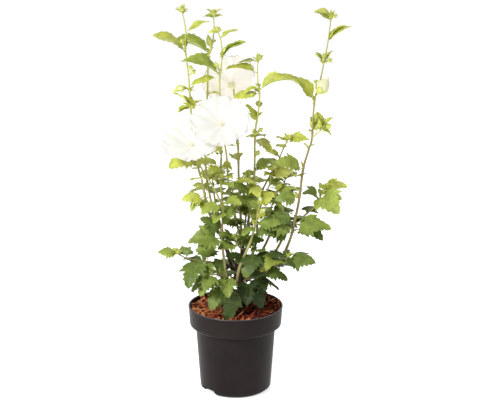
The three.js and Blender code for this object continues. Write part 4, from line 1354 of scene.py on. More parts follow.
class Buds:
    """Flower buds: an egg of folded petals in its sepals, on a ruff of narrow bracts."""

    stalk_radii = (1.0, 0.9)
    stalk_tone = 5
    egg_rings = 10
    egg_sides = 15
    pleats = 5
    pleat = 0.07
    winding = 3.5
    sepals = 5
    sepal_grid = (7, 5)
    sepal_angle = 0.68
    bracts = 7
    bract_grid = (5, 3)

    def __init__(self, woodwork: Woodwork) -> None:
        """Starts with no buds.

        Args:
            woodwork: What takes their stalks.
        """
        self.woodwork = woodwork
        self.bodies = Patches()
        self.greens = Patches()
        self.rng = np.random.default_rng(17)

    @staticmethod
    def girth(share: Array, breadth: float) -> Array:
        """Radius of the egg: breadth sin(pi (share ** 0.85 + 0.03)), down to a small tip."""
        place = np.minimum(0.97, np.maximum(share, 0) ** 0.85 + 0.03)
        return breadth * np.sin(np.pi * place)

    def bud(self, foot: Array, row: Row, kind: BudKind, tone: int) -> None:
        """Adds one bud with its stalk.

        Args:
            foot: Where its stalk leaves the shoot.
            row: Place, heading, rise, stalk and length.
            kind: How far it has come.
            tone: Number of its green parts' finish.
        """
        _, heading, rise, stalk, length = row
        ahead = direction(heading, rise)
        base = foot + ahead * stalk
        self.woodwork.twig(foot, base + ahead, self.stalk_radii, self.stalk_tone)
        seat = Seat(base, np.stack([*square_axes(ahead), ahead]))
        self.add_egg(seat, length, kind)
        self.add_sepals(seat, length, kind, tone)
        self.add_bracts(seat, length, tone)

    def add_egg(self, seat: Seat, length: float, kind: BudKind) -> None:
        """Adds the folded petals: an egg with five soft pleats that wind round it.

        Radius = (girth - 0.3) (1 + 0.07 cos(5 a + 3.5 s) sin(pi s)) for a share s of the
        length and an angle a.

        Args:
            seat: Where the bud sits.
            length: Its length, in mm.
            kind: How far it has come.
        """
        share = np.linspace(0.02, 1, self.egg_rings)[:, None]
        angle = TURN * np.arange(self.egg_sides) / self.egg_sides
        pleats = np.cos(self.pleats * angle + self.winding * share) * np.sin(np.pi * share)
        radius = (self.girth(share, length * kind.breadth) - 0.3) * (1 + self.pleat * pleats)
        points, faces = capped(turned(radius, angle, share * length))
        self.bodies.add(seat.set(points), faces, kind.finish)

    def add_sepals(self, seat: Seat, length: float, kind: BudKind, tone: int) -> None:
        """Adds five pointed sepals that hug the egg: half angle 0.68 sqrt(1 - (s / reach) ** 2.2).

        Args:
            seat: Where the bud sits.
            length: Its length, in mm.
            kind: How far it has come.
            tone: Number of their finish.
        """
        rows, columns = self.sepal_grid
        share = np.linspace(0, kind.reach, rows)[:, None]
        u = np.linspace(-1, 1, columns)
        half = self.sepal_angle * np.sqrt(np.clip(1 - (share / kind.reach) ** 2.2, 0.0004, 1))
        radius = self.girth(share, length * kind.breadth) + 0.25 + 0.3 * (1 - u**2)
        for number in range(self.sepals):
            points = turned(radius, TURN * number / self.sepals + half * u, share * length)
            self.greens.add(seat.set(points), net(rows, columns), tone)

    def add_bracts(self, seat: Seat, length: float, tone: int) -> None:
        """Adds seven narrow bracts that curve up and out.

        Out = 1 + 0.2 length sqrt(s) + 0.5 size s ** 1.4 and up = 0.8 size s - 1 for a share
        s of a bract, and the half width is 1.05 (1 - s2) + 0.12.

        Args:
            seat: Where the bud sits.
            length: Its length, in mm.
            tone: Number of their finish.
        """
        rows, columns = self.bract_grid
        reach = 4.5 + 0.62 * length
        s = np.linspace(0, 1, rows)[:, None]
        u = np.linspace(-1, 1, columns)
        wide = (1.05 * (1 - s**2) + 0.12) * u
        for number in range(self.bracts):
            turn = TURN * (number + self.rng.uniform(-0.2, 0.2)) / self.bracts
            size = reach * self.rng.uniform(0.8, 1.2)
            out = 1.0 + 0.2 * length * np.sqrt(s) + size * 0.5 * s**1.4
            points = strap(out, wide, turn, size * 0.8 * s - 1.0 + 0.25 * np.abs(u))
            self.greens.add(seat.set(points), net(rows, columns), tone)

    def pieces(self) -> list[bpy.types.Object]:
        """Makes the joined pieces."""
        greens = self.greens.piece("bud_sepals_and_bracts", SEPAL_TONES, "leaf")
        return [self.bodies.piece("bud_bodies", (SEPAL_TONES[1], CREAM), "flower"), greens]


# ---- open flowers


class FlowerTone(IntEnum):
    """Numbers of the petals' finishes."""

    WHITE = 0
    SHADED_BEIGE = 1
    EDGE = 2


@dataclass
class Blossom:
    """Open flowers: five broad ruffled petals round a pollen-covered column."""

    count: int = 5
    first: float = 0.15  # of the angle between petals, from level to the first one
    throat: float = 0.06  # from here on shares of the flower's radius
    length: float = 0.94
    corner: float = 0.16
    width: float = 0.62
    cup: float = 0.3
    overlap: float = 0.03
    ruffle: float = 0.05
    frill: float = 0.03
    pleat: float = 0.006
    scallop: float = 0.03
    calyx_share: float = 0.42
    column_share: float = 0.36
    thickness: float = 0.9  # mm
    rows: int = 22
    columns: int = 20
    anthers: int = 46
    stigmas: int = 5
    sepals: int = 5
    bracts: int = 7
    petals: Patches = field(default_factory=Patches)
    columns_part: Patches = field(default_factory=Patches)
    greens: Patches = field(default_factory=Patches)

    def petal(self, number: int, radius: float) -> Array:
        """Middle surface of one petal in the flower's own axes: right, up and ahead.

        For s from throat to edge and u from side to side, reach = throat + length s
        - corner s u2 less the edge's scallops, spread = width sin(pi (0.08 + 0.6 s)) u, and
        rise = cup (1 - (1 - s)2) + overlap u + ruffle s cos(3 pi u + number), plus finer
        frills near the edge, one broad wave, and pleats that fan out from the throat.

        Args:
            number: Of the petal, which also sets the phases of its waves.
            radius: Of the flower.

        Returns:
            Points by row and column.
        """
        s = np.linspace(0, 1, self.rows)[:, None]
        u = np.linspace(-1, 1, self.columns)
        turn = TURN * (number + self.first) / self.count
        scallops = 1 + np.cos(3.3 * np.pi * u + 1.7 * number)
        reach = self.throat + self.length * s - self.corner * s * u**2 - self.scallop * s**3 * scallops
        spread = self.width * np.sin(np.pi * (0.08 + 0.6 * s)) * u
        frills = np.cos(5.3 * np.pi * u + 2.1 * number) + 0.5 * np.cos(8.1 * np.pi * u - number)
        wave = np.sin(5 * u + 4 * s + 2.3 * number)
        rise = self.cup * (1 - (1 - s) ** 2) + self.overlap * u
        rise = rise + self.ruffle * s * np.cos(3 * np.pi * u + number)
        rise = rise + self.frill * (s**4 * frills + s**2 * wave)
        rise = rise + self.pleat * np.sin(17 * u + number) * s * (1.2 - s)
        return radius * strap(reach, spread, turn, rise)

    def shell(self, middle: Array) -> tuple[Array, Array]:
        """A thin closed shell about a surface; its two faces meet along the edge.

        Args:
            middle: Points of the surface, by row and column.

        Returns:
            The points, and the corners of the faces.
        """
        rows, columns = middle.shape[:2]
        normal = np.cross(np.gradient(middle, axis=0), np.gradient(middle, axis=1))
        normal = unit(normal) * self.thickness / 2
        inner = np.zeros((rows, columns), bool)
        inner[1:-1, 1:-1] = True
        front = np.arange(rows * columns).reshape(rows, columns)
        back = front.copy()
        back[inner] = rows * columns + np.arange(inner.sum())
        over = middle + normal * inner[..., None]
        under = (middle - normal)[inner]
        points = np.concatenate([over.reshape(-1, 3), under])
        corners = net(rows, columns)
        return points, np.concatenate([front.ravel()[corners][:, ::-1], back.ravel()[corners]])

    def flower(self, foot: Array, face: tuple[float, float], radius: float) -> None:
        """Adds one flower. One that faces the back, with a heading under 180, is painted beige as shade.

        Args:
            foot: Tip of its twig.
            face: Heading and rise of its axis.
            radius: Of the open flower.
        """
        ahead = direction(*face)
        right = unit(np.cross([0.0, 0.0, 1.0], ahead))
        axes = np.stack([right, np.cross(ahead, right), ahead])
        calyx = radius * self.calyx_share
        throat = Seat(foot + ahead * calyx * 0.8, axes)
        # a flower that faces the back takes the painted shade
        body = FlowerTone.SHADED_BEIGE if face[0] < 180 else FlowerTone.WHITE
        for number in range(self.count):
            points, faces = self.shell(self.petal(number, radius))
            tone = np.full((2, self.rows - 1, self.columns - 1), body)
            # the edge row takes the painted shade
            tone[:, -1] = FlowerTone.EDGE
            self.petals.add(throat.set(points), faces, tone.ravel())
        self.add_column(Seat(foot + ahead * calyx * 0.5, axes), radius * self.column_share)
        self.add_calyx(Seat(foot, axes), calyx, radius)

    def add_column(self, seat: Seat, length: float) -> None:
        """Adds the column with its anthers in a spiral, and five stigmas at its end.

        Anther k stands at the golden angle times k, 1.8 + 2.4 (0.75 + 0.25 sin 7k) mm out,
        and from 0.42 to 0.97 of the length up.

        Args:
            seat: Where the column starts.
            length: Its length, in mm.
        """
        share = np.linspace(0, 1, 9)
        rings = tube(np.outer(share, [0, 0, length]), np.interp(share, [0, 0.5, 1], [3.2, 2.0, 1.3]), 10)
        points, faces = capped(rings)
        self.columns_part.add(seat.set(points), faces, 0)
        k = np.arange(self.anthers)
        out = 1.8 + 2.4 * (0.75 + 0.25 * np.sin(7 * k))
        anthers = turned(out, 2.4 * k, length * (0.42 + 0.55 * k / self.anthers))
        self.add_beads(seat, anthers, 0.95, 1)
        stigmas = turned(2, TURN * np.arange(self.stigmas) / self.stigmas, length + 2)
        self.add_beads(seat, stigmas, 1.2, 0)

    def add_beads(self, seat: Seat, middles: Array, radius: float, tone: int) -> None:
        """Adds eight-sided beads: six corners at radius along the axes round each middle.

        Args:
            seat: Where the column starts.
            middles: Their places from there.
            radius: From a middle to its corners.
            tone: Number of their finish.
        """
        corners = np.concatenate([np.eye(3), -np.eye(3)]) * radius
        level = np.array([0, 1, 3, 4])
        upper = np.stack([level, np.roll(level, -1), np.full(4, 2), np.full(4, 2)], axis=-1)
        lower = np.stack([np.roll(level, -1), level, np.full(4, 5), np.full(4, 5)], axis=-1)
        eight = np.concatenate([upper, lower])
        faces = (eight + len(corners) * np.arange(len(middles))[:, None, None]).reshape(-1, 4)
        self.columns_part.add(seat.set(middles[:, None] + corners), faces, tone)

    def add_calyx(self, seat: Seat, length: float, radius: float) -> None:
        """Adds the green cup under the petals: five broad sepals over seven narrow bracts.

        A sepal is 3.1 + 0.1 radius s ** 0.8 + 1.2 s3 mm from the axis and 0.62 length up,
        with the half angle 0.72 sqrt(1.02 - s ** 2.5). A bract is 2.4 + 4.5 s ** 1.5 mm out.

        Args:
            seat: The tip of the flower's twig.
            length: The calyx's length, in mm.
            radius: Of the flower.
        """
        s = np.linspace(0, 1, 7)[:, None]
        u = np.linspace(-1, 1, 5)
        half = 0.72 * np.sqrt(np.clip(1.02 - s**2.5, 0, 1))
        out = 3.1 + radius * 0.1 * s**0.8 + 1.2 * s**3
        for number in range(self.sepals):
            points = turned(out, TURN * (number + 0.4) / self.sepals + half * u, 0.62 * length * s)
            self.greens.add(seat.set(points), net(7, 5))
        u = np.linspace(-1, 1, 3)
        out = 2.4 + 4.5 * s**1.5
        wide = (1.0 * (1 - s**2) + 0.15) * u
        for number in range(self.bracts):
            points = strap(out, wide, TURN * number / self.bracts, 0.4 * length * s)
            self.greens.add(seat.set(points), net(7, 3))

    def pieces(self) -> list[bpy.types.Object]:
        """Makes the joined pieces.

        Returns:
            Petals, columns and calyxes.
        """
        petals = self.petals.piece("petals", (PETAL, SHADED_BEIGE, EDGE), "flower")
        columns = self.columns_part.piece("flower_columns", (COLUMN, POLLEN), "flower")
        return [petals, columns, self.greens.piece("flower_calyxes", (CALYX,), "leaf")]


# ---- the pot


@dataclass
class Pot:
    """The nursery pot: one closed turned shell with arched drain notches in its foot."""

    height: float = 175
    rim: float = 95
    lip: float = 4
    collar_foot: float = 92
    collar_drop: float = 38
    shoulder: float = 80
    shoulder_drop: float = 46
    heel: float = 71
    heel_rise: float = 6
    foot: float = 64.5
    wall: float = 2.6
    notches: Row = (12, 114, 216)
    notch_width: float = 46
    notch_height: float = 11
    notch_depth: float = 30
    steps: int = 14
    lip_rows: tuple[int, int] = (23, 26)  # rows of faces on top of the lip, which take the painted highlight

    @property
    def half(self) -> float:
        """Half of the angle that a notch spans."""
        return self.notch_width / 2 / self.heel

    def angles(self) -> Array:
        """Angles of the profile's copies, close together at the sides of the notches.

        Inside a notch they are half sin a for even steps of a, and even outside it.

        Returns:
            Angles in radians, once round.
        """
        inside = self.half * np.sin(np.linspace(-np.pi / 2, np.pi / 2, self.steps))
        middles = np.radians(self.notches)
        spans = np.diff(np.append(middles, middles[0] + TURN))
        share = np.linspace(0, 1, 2 * self.steps)
        start = self.half + 0.02
        outside = start + share * (spans[:, None] - 2 * start)
        steps = np.concatenate([np.tile(inside, (len(spans), 1)), outside], axis=1)
        return (middles[:, None] + steps).ravel()

    def notch_top(self, angle: Array) -> Array:
        """Height of the notch over an angle: height (1 - |offset / half| ** 8) ** 0.35, 0 outside.

        Args:
            angle: Angles round the pot, in radians.

        Returns:
            A height for each angle.
        """
        offset = (angle[:, None] - np.radians(self.notches) + np.pi) % TURN - np.pi
        share = np.abs(offset).min(1) / self.half
        return self.notch_height * np.clip(1 - share**8, 0, 1) ** 0.35

    def profile(self, top: Array) -> tuple[Array, Array]:
        """Radii and heights of the profile at each angle, from under the foot to the inner floor.

        Args:
            top: Height of the notch at each angle.

        Returns:
            Radii and heights, by angle and point of the profile.
        """
        h, c, s = self.height, self.height - self.collar_drop, self.height - self.shoulder_drop
        slope = (self.shoulder - self.heel) / (s - self.heel_rise)
        inner = self.foot - self.notch_depth
        low = [
            (inner, 0.0), (inner + 0.3, 0.0), (self.foot - 0.8, 0.0), (self.foot, 0.5),
            (self.heel - 0.4, self.heel_rise - 0.5),
        ]
        wall = [(self.heel + slope * z, self.heel_rise + z) for z in (0.6, 6.0, 30.0, 60.0, 90.0, 112.0)]
        collar = [
            (self.shoulder - 0.1, s - 0.8), (self.shoulder + 0.6, s - 0.1), (self.shoulder + 6, s + 3.2),
            (self.collar_foot - 2.4, c - 2.2), (self.collar_foot - 0.5, c - 0.7), (self.collar_foot, c + 0.6),
            (self.collar_foot + 0.5, c + 6), (self.collar_foot + 1.6, c + 22), (self.rim - 0.9, h - 5.6),
            (self.rim - 0.75, h - 4.6), (self.rim - 0.1, h - 4.0), (self.rim, h - 3.2), (self.rim, h - 0.9),
            (self.rim - 0.5, h - 0.15), (self.rim - 1.1, h),
        ]
        inside = [
            (self.rim - self.lip + 0.9, h), (self.rim - self.lip + 0.2, h - 0.3),
            (self.rim - self.lip, h - 1.1), (self.rim - self.lip - 0.6, h - 8),
            (self.collar_foot - self.wall, c), (self.shoulder - self.wall, s),
            (self.heel - self.wall, 20), (self.heel - self.wall - 4, 16.5),
        ]
        radii, heights = np.array(low + wall + collar + inside).T
        radii = np.broadcast_to(radii, (len(top), len(radii))).copy()
        heights = np.broadcast_to(heights, radii.shape).copy()
        raised = top > 0
        edge = self.heel + slope * (top[raised, None] - self.heel_rise)
        heights[:, 1] = top
        heights[:, 2] = top
        radii[raised, 2:5] = edge - np.array([0.5, 0.1, 0.0])
        heights[raised, 3] = top[raised] + 0.3
        heights[raised, 4] = top[raised] + 0.8
        heights[:, 5] = np.maximum(heights[:, 5], top + 1.4)
        radii[:, 5] = self.heel + slope * (heights[:, 5] - self.heel_rise)
        return radii, heights

    def piece(self) -> bpy.types.Object:
        """Turns the profile once round. The faces on top of the lip are painted lighter as a highlight.

        Returns:
            The piece.
        """
        angle = self.angles()
        radii, heights = self.profile(self.notch_top(angle))
        points, faces = capped(turned(radii, angle[:, None], heights).transpose(1, 0, 2))
        row = np.arange(len(faces)) // len(angle)
        first, after = self.lip_rows
        shell = Patches()
        # the lip's top rows take the painted highlight
        shell.add(points, faces, ((row >= first) & (row < after)).astype(int))
        pot = shell.piece("pot_shell", (PLASTIC, LIP_HIGHLIGHT), "pot", crease=32)
        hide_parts("pot")
        return pot


# ---- mulch


@dataclass
class Mulch:
    """Shredded bark over the soil: a rough bed under loose shreds in five tones."""

    level: float = 165.0
    inside: float = 89.6
    heap: float = 6.5
    bed_sides: int = 72
    bed_rings: int = 26
    shreds: int = 1800
    log_length: tuple[float, float] = (2.72, 0.42)
    lengths: tuple[float, float] = (6, 40)
    widths: tuple[float, float] = (1.1, 3.5)
    combed: float = 0.4  # share of the shreds that lie nearly along the comb
    comb: tuple[float, float] = (1.25, 0.5)  # radians, and their spread
    tilt: float = 0.42
    bend: float = 0.14
    lift: float = 8.5
    places: Row = (-0.5, -0.18, 0.18, 0.5)
    taper: Row = (0.25, 1.0, 0.9, 0.2)
    flatness: Row = (0.5, 0.34)  # half width and half thickness, as shares of the width
    spread: float = 0.985  # of the bed's radius
    settling: float = 2.2  # the higher, the more shreds lie low
    lighter: tuple[float, float] = (2.2, 0.34)  # tones for each share of lift, from this share on; painted shade that darkens the low shreds
    chance: float = 1.35
    seed: int = 29

    def surface(self, x: Array, y: Array) -> Array:
        """Height of the bed: level, three crossed waves, a mound at the trunk, a rise to the back.

        Args:
            x: To the right, in mm.
            y: To the back, in mm.

        Returns:
            A height for each place.
        """
        waves = np.sin(x / 7 + 1) * np.cos(y / 9)
        waves = waves + 0.6 * np.sin((x + y) / 5 + 2) + 0.4 * np.cos((x - 2 * y) / 6)
        mound = 3.0 * np.exp(-((x - 10) ** 2 + y**2) / 900)
        rise = self.heap / (1 + np.exp(-(0.45 * x + 0.9 * y - 20) / 16))
        return self.level - 1.5 + 0.9 * waves + mound + rise

    def shade(self, x: Array, y: Array) -> Array:
        """Tone of the shreds: 1.65 - tanh(x / 35), less two darker patches, more at a lighter one.

        Args:
            x: To the right, in mm.
            y: To the back, in mm.

        Returns:
            A tone for each place, before it is rounded.
        """
        dark_patches = 1.5 * np.exp(-((x + 38) ** 2 + (y + 60) ** 2) / 350)
        dark_patches = dark_patches + 1.3 * np.exp(-((x - 14) ** 2 + (y + 48) ** 2) / 500)
        light_patch = 1.5 * np.exp(-((x - 32) ** 2 / 700 + (y + 80) ** 2 / 120))
        return 1.65 - 1.0 * np.tanh(x / 35) - dark_patches + light_patch

    def bed(self) -> bpy.types.Object:
        """The soil body under the shreds: its rough top, its side and its underside.

        Returns:
            The piece.
        """
        angle = TURN * np.arange(self.bed_sides) / self.bed_sides
        radius = np.linspace(1.5, self.inside, self.bed_rings)[:, None]
        top = turned(radius, angle, self.surface(radius * np.cos(angle), radius * np.sin(angle)))
        sides = [(self.inside - 0.5, self.level - 12), (75.0, 120.0), (67.0, 21.0), (20.0, 18.0)]
        low = np.array([turned(out, angle, height) for out, height in sides])
        points, faces = capped(np.concatenate([top, low])[::-1])
        soil = Patches()
        soil.add(points, faces)
        bed = soil.piece("soil_bed", (LOAM,), "soil")
        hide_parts("soil")
        return bed

    def litter(self) -> bpy.types.Object:
        """Loose shreds: bent four-sided slivers of four rings, with narrow closed ends.

        A shred runs along its heading with its ends bent to one side, tilted, above the bed
        and inside the rim. The upper ones are lighter and the low ones darker, painted shade
        among the shreds: tone = shade + 2.2 (lift - 0.34) and some chance.

        Returns:
            The piece.
        """
        rng = np.random.default_rng(self.seed)
        n = self.shreds
        out = self.inside * np.sqrt(rng.uniform(0, 1, n)) * self.spread
        round_angle = rng.uniform(0, TURN, n)
        x = out * np.cos(round_angle)
        y = out * np.sin(round_angle)
        length = np.clip(rng.lognormal(*self.log_length, n), *self.lengths)
        width = rng.uniform(*self.widths, n)
        combed = rng.uniform(0, 1, n) < self.combed
        heading = np.where(combed, rng.normal(*self.comb, n), rng.uniform(0, TURN, n))
        tilt = rng.normal(0, self.tilt, n)
        lift = rng.uniform(0.03, 1, n) ** self.settling
        s = np.array(self.places)
        bend = rng.normal(0, self.bend, n)
        along = s[None, :] * length[:, None]
        side = bend[:, None] * length[:, None] * (s[None, :] ** 2 * 4 - 0.5)
        middle = np.stack([
            x[:, None] + along * np.cos(heading)[:, None] - side * np.sin(heading)[:, None],
            y[:, None] + along * np.sin(heading)[:, None] + side * np.cos(heading)[:, None],
            (self.surface(x, y) + self.lift * lift)[:, None] + along * np.sin(tilt)[:, None],
        ], axis=-1)
        far = np.linalg.norm(middle[..., :2], axis=-1)
        middle[..., :2] *= np.minimum(1, (self.inside + 0.6) / np.maximum(far, 1))[..., None]
        middle[..., 2] = np.maximum(middle[..., 2], self.surface(middle[..., 0], middle[..., 1]) + 0.2)
        across = np.stack([-np.sin(heading), np.cos(heading), np.zeros(n)], axis=-1)
        up = np.array([0, 0, 1.0])
        corner = np.array([[1, 0], [0, 1], [-1, 0], [0, -1]]) * self.flatness
        size = (width[:, None] * np.array(self.taper))[..., None, None]
        offset = corner[:, :1] * across[:, None, None] + corner[:, 1:] * up
        points = middle[:, :, None] + offset * size
        rings, sides = len(s), len(corner)
        foot = np.arange(sides)
        ends = np.stack([np.roll(foot[::-1], 1), foot + (rings - 1) * sides])
        one = np.concatenate([net(rings, sides, closed=True), ends])
        faces = (one + rings * sides * np.arange(n)[:, None, None]).reshape(-1, 4)
        slope, level = self.lighter
        # painted shade: the low shreds darker, the high ones lighter
        tone = self.shade(x, y) + slope * (lift - level) + rng.normal(0, self.chance, n)
        tone = np.clip(np.round(tone), 0, len(MULCH_TONES) - 1).astype(int)
        litter = Patches()
        litter.add(points, faces, np.repeat(tone, len(one)))
        return litter.piece("mulch_shreds", MULCH_TONES, "soil", crease=20)


# ---- the whole plant


class Shrub:
    """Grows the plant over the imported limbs."""

    # The kind of a bud and a factor on its length, by shoot and row of its buds.
    kinds = {
        ("foliage_right", 1): (BudKind.WHITE, 1.2),
        ("foliage_left", 0): (BudKind.CREAM, 1.1),
        ("foliage_left_back", 0): (BudKind.LONG, 1.0),
        ("foliage_front", 0): (BudKind.CREAM, 1.15),
        ("foliage_front", 1): (BudKind.CREAM, 1.35),
    }
    # Tones that one leaf is lighter by, by shoot and place on it. Some are painted light:
    # a leaf in the flowers' shade is made lighter as if light shone through it.
    lights = {
        ("foliage_front_left", 4.15): 2.0, ("flowering_twig_middle", 0.35): 1.0,
        ("foliage_right", 2.02): -2.2, ("foliage_right", 6.8): 1.0, ("foliage_right", 8.1): 1.0,
        ("foliage_right", 0.1): 0.4, ("foliage_right", 0.05): 0.2, ("foliage_low_right", 2.2): -0.4,
        ("foliage_side_left", 2.85): 1.0, ("foliage_side_left", 2.1): 0.2,
        ("foliage_right_arm", 0.9): 1.8, ("foliage_right", 9): 1.6, ("foliage_front_left", 7): -0.6,
    }
    # Tones that a limb's bark is paler by than its height says. Other shoots have shoot_paleness.
    shoot_paleness = 0.6
    paleness = {
        "bough_front": 2.4, "bough_front_left": 2.0, "bough_right": 0.9, "bough_low_right": 1.0,
        "bough_rear_right": 0.7,
        "foliage_right": -1.0, "foliage_left_back": 1.4, "foliage_front": 1.0,
    }
    # Place and size, in mm, of the tufts along a shoot.
    tufts = {
        "foliage_right": ((6.9, 21), (4.9, 12)),
        "foliage_inner_right": ((1.95, 15), (4.5, 13)),
        "foliage_left": ((4.1, 27), (6.0, 15)),
        "foliage_left_back": ((4.9, 12),),
        "foliage_front_left": ((7.0, 14), (6.0, 13)),
    }
    # Tones that all leaves of a shoot are lighter by.
    moods = {
        "foliage_over_rim_front": -0.8, "foliage_over_rim_right": -1.9, "foliage_right_arm": -0.5,
        "foliage_heart": -0.4, "foliage_over_rim_left": 0.2, "foliage_low_right": 0.5,
        "foliage_side_left": -0.3, "foliage_front": 0.5, "foliage_centre_right": 0.6,
    }
    # Leaves that the solids don't have: place, heading, rise, length and tones lighter.
    late = {
        "flowering_twig_middle": (
            (0.7, 345, 8, 62, 1.3), (1.3, 205, 0, 38, 0.4), (0.1, 80, -30, 56, 0), (0.12, 140, -34, 56, 0),
            (0.1, 246, -42, 50, -0.4),
        ),
        "foliage_front_left": (
            (3.5, 190, 6, 54, 0.8), (2.9, 310, 12, 38, 0.8), (2.2, 325, 4, 46, 0.4), (1.2, 24, -8, 60, -0.4),
            (0.4, 158, -6, 60, -0.4), (7, 349, 42, 48, -0.6),
        ),
        "flowering_twig_back": ((0.1, 100, -25, 56, 0), (0.15, 50, -32, 56, 0), (0.5, 320, -14, 48, 0.5)),
        "flowering_twig_left": ((0.3, 205, -22, 46, -0.6), (2.1, 200, 6, 40, 0)),
        "foliage_left": ((4.05, 188, 44, 46, 1), (4.05, 352, 36, 30, 1), (4.1, 200, -6, 28, 0)),
        "foliage_inner_right": (
            (1.05, 350, 18, 32, 1), (0.6, 290, -28, 38, 1), (0.1, 100, -34, 56, 0), (0.15, 30, -20, 50, 0),
        ),
        "foliage_right": (
            (6.95, 185, 48, 28, 0), (6.95, 24, 46, 24, 0), (8.9, 187, 28, 38, 1.4), (8.08, 8, 42, 46, 0.4),
        ),
        "foliage_right_side": ((1.0, 80, 50, 48, 0.5), (0.8, 196, 20, 24, 0)),
        "foliage_left_back": ((7, 185, 40, 20, 0), (7, 0, 36, 22, 0)),
        "foliage_centre": ((0.6, 30, 22, 52, 0), (1.2, 160, 24, 50, 0)),
        "foliage_centre_right": ((0.2, 168, -4, 56, -0.3), (0.6, 150, 12, 52, -0.3)),
        "foliage_side_left": ((0.1, 100, 22, 56, 0),),
    }
    # The leaf tone at each height, in mm, before the darker zones and chance.
    tone_heights = (200, 300, 380, 430, 480, 560, 740)
    tones = (2.4, 3.0, 4.05, 5.0, 5.2, 4.95, 5.1)
    palest_grown = 6
    # Tones darker in three zones, which all fade in downwards from shaded_below.
    shaded_below = 430
    fading = 60
    heart_shade = 1.0
    heart = (14, 6, 1500)  # its middle in mm, and its spread in mm2
    right_shade = 1.3
    back_shade = 0.5
    even_above = 550
    chances = (0.55, 0.35)  # in tones, under even_above and over it
    light_buds_above = 430
    # Sides of a limb's rings, and the height of its bark's waves in mm.
    trunk_bark = (18, 0.35)
    bough_bark = (12, 0.12)
    stem_bark = (10, 0.06)
    droops = (38, 74)
    late_rolls = (-25, 25)
    sprig_leaves = 3
    sprig_lengths = (9, 19)
    tuft_leaves = 9
    tuft_droops = (10, 45)
    broad_tuft = 22  # mm, from which size on its leaves aren't narrow
    crown_size = 21
    crown_buds = 3

    def __init__(self) -> None:
        """Prepares the parts that the plant is gathered into."""
        self.woodwork = Woodwork()
        self.foliage = Foliage()
        self.buds = Buds(self.woodwork)
        self.blossom = Blossom()
        self.rng = np.random.default_rng(41)

    @staticmethod
    def corners(name: str) -> Array:
        """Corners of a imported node.

        Args:
            name: The node's name.

        Returns:
            Its different corners, in mm.
        """
        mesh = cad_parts[name].data
        points = np.zeros(len(mesh.vertices) * 3, np.float32)
        mesh.vertices.foreach_get("co", points)
        return np.unique(np.round(points.reshape(-1, 3).astype(float) / MM, 3), axis=0)

    def tone(self, foot: Array, name: str, lighter: float = 0) -> int:
        """Leaf tone by height, darker at the heart, the back and the low right, with some chance.

        Args:
            foot: Where the leaf starts.
            name: Its shoot.
            lighter: Tones to add.

        Returns:
            Number of its finish.
        """
        x, y, z = foot
        base = np.interp(z, self.tone_heights, self.tones)
        low = np.clip((self.shaded_below - z) / self.fading, 0, 1)
        middle_x, middle_y, spread = self.heart
        heart = self.heart_shade * low * np.exp(-((x - middle_x) ** 2 + (y - middle_y) ** 2) / spread)
        right = self.right_shade * low * np.clip((x - 10) / 60, 0, 1) * np.clip((z - 230) / 60, 0.3, 1)
        back = self.back_shade * low * np.clip((y - 10) / 40, 0, 1)
        base = base - heart - right - back + self.moods.get(name, 0) + lighter
        chance = self.rng.normal(0, self.chances[int(z >= self.even_above)])
        return int(np.clip(round(base + chance), 0, self.palest_grown))

    def grow(self, name: str, limb: Limb) -> None:
        """Grows a stem with its leaves, sprigs, tufts and buds.

        Args:
            name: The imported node's name.
            limb: Its row in the tables.
        """
        paleness = self.paleness.get(name, self.shoot_paleness)
        self.woodwork.limb(limb, *self.stem_bark, paleness, self.woodwork.stems)
        for place, pose in settled(limb.leaf_rows(), limb, self.corners(name)):
            tone = self.tone(pose.foot, name, self.lights.get((name, place), 0))
            droop = float(np.radians(self.rng.uniform(*self.droops)))
            self.foliage.leaf(replace(pose, droop=droop), tone)
            self.sprig(pose, tone)
        for place, heading, rise, length, lighter in self.late.get(name, ()):
            roll = self.rng.uniform(*self.late_rolls)
            pose = LeafPose(line_at(limb.via, place), heading, rise, length, roll)
            self.foliage.leaf(pose, self.tone(pose.foot, name, lighter))
        if not limb.face:
            self.crown(limb)
        for place, size in self.tufts.get(name, ()):
            self.tuft(limb, place, size)
        for number, row in enumerate(limb.buds):
            kind, swell = self.kinds.get((name, number), (BudKind.GREEN, 1.0))
            foot = line_at(limb.via, row[0])
            grown = (*row[:4], row[4] * swell)
            self.buds.bud(foot, grown, kind, int(foot[2] > self.light_buds_above))

    def sprig(self, pose: LeafPose, tone: int) -> None:
        """Adds up to three small new leaves in the angle between a leaf and its shoot.

        Args:
            pose: Where the leaf stands.
            tone: Number of its finish.
        """
        for _ in range(self.rng.integers(0, self.sprig_leaves + 1)):
            heading = pose.heading + self.rng.uniform(-70, 70)
            rise = self.rng.uniform(20, 75)
            small = LeafPose(pose.foot, heading, rise, self.rng.uniform(*self.sprig_lengths), 0.0)
            self.foliage.leaf(small, min(self.palest_grown, tone + 1), SMALL_BLADE, 1.0)

    def tuft(self, limb: Limb, place: float, size: float) -> None:
        """Adds a tuft of nine new leaves that lean out by 10 to 66 degrees from a shoot's run.

        Args:
            limb: The shoot.
            place: Where on it, counted in its points.
            size: Length of the longest leaf, in mm.
        """
        foot = line_at(limb.via, place)
        ahead = unit(foot - line_at(limb.via, place - 0.15))
        start = self.rng.uniform(0, 360)
        for k in range(self.tuft_leaves):
            lean = 10 + 7 * k
            way = unit(ahead + np.tan(np.radians(lean)) * direction(start + GOLDEN_ANGLE * k, 0))
            heading, rise = np.degrees([np.arctan2(way[1], way[0]), np.arcsin(way[2])])
            length = size * self.rng.uniform(0.66, 1.0)
            droop = float(np.radians(self.rng.uniform(*self.tuft_droops)))
            pose = LeafPose(foot - ahead * 0.4 * k, float(heading), float(rise), length, 0.0, droop)
            blade = SMALL_BLADE if size > self.broad_tuft else NARROW_BLADE
            self.foliage.leaf(pose, 5 + int(self.rng.integers(0, 3)), blade, 1.0)

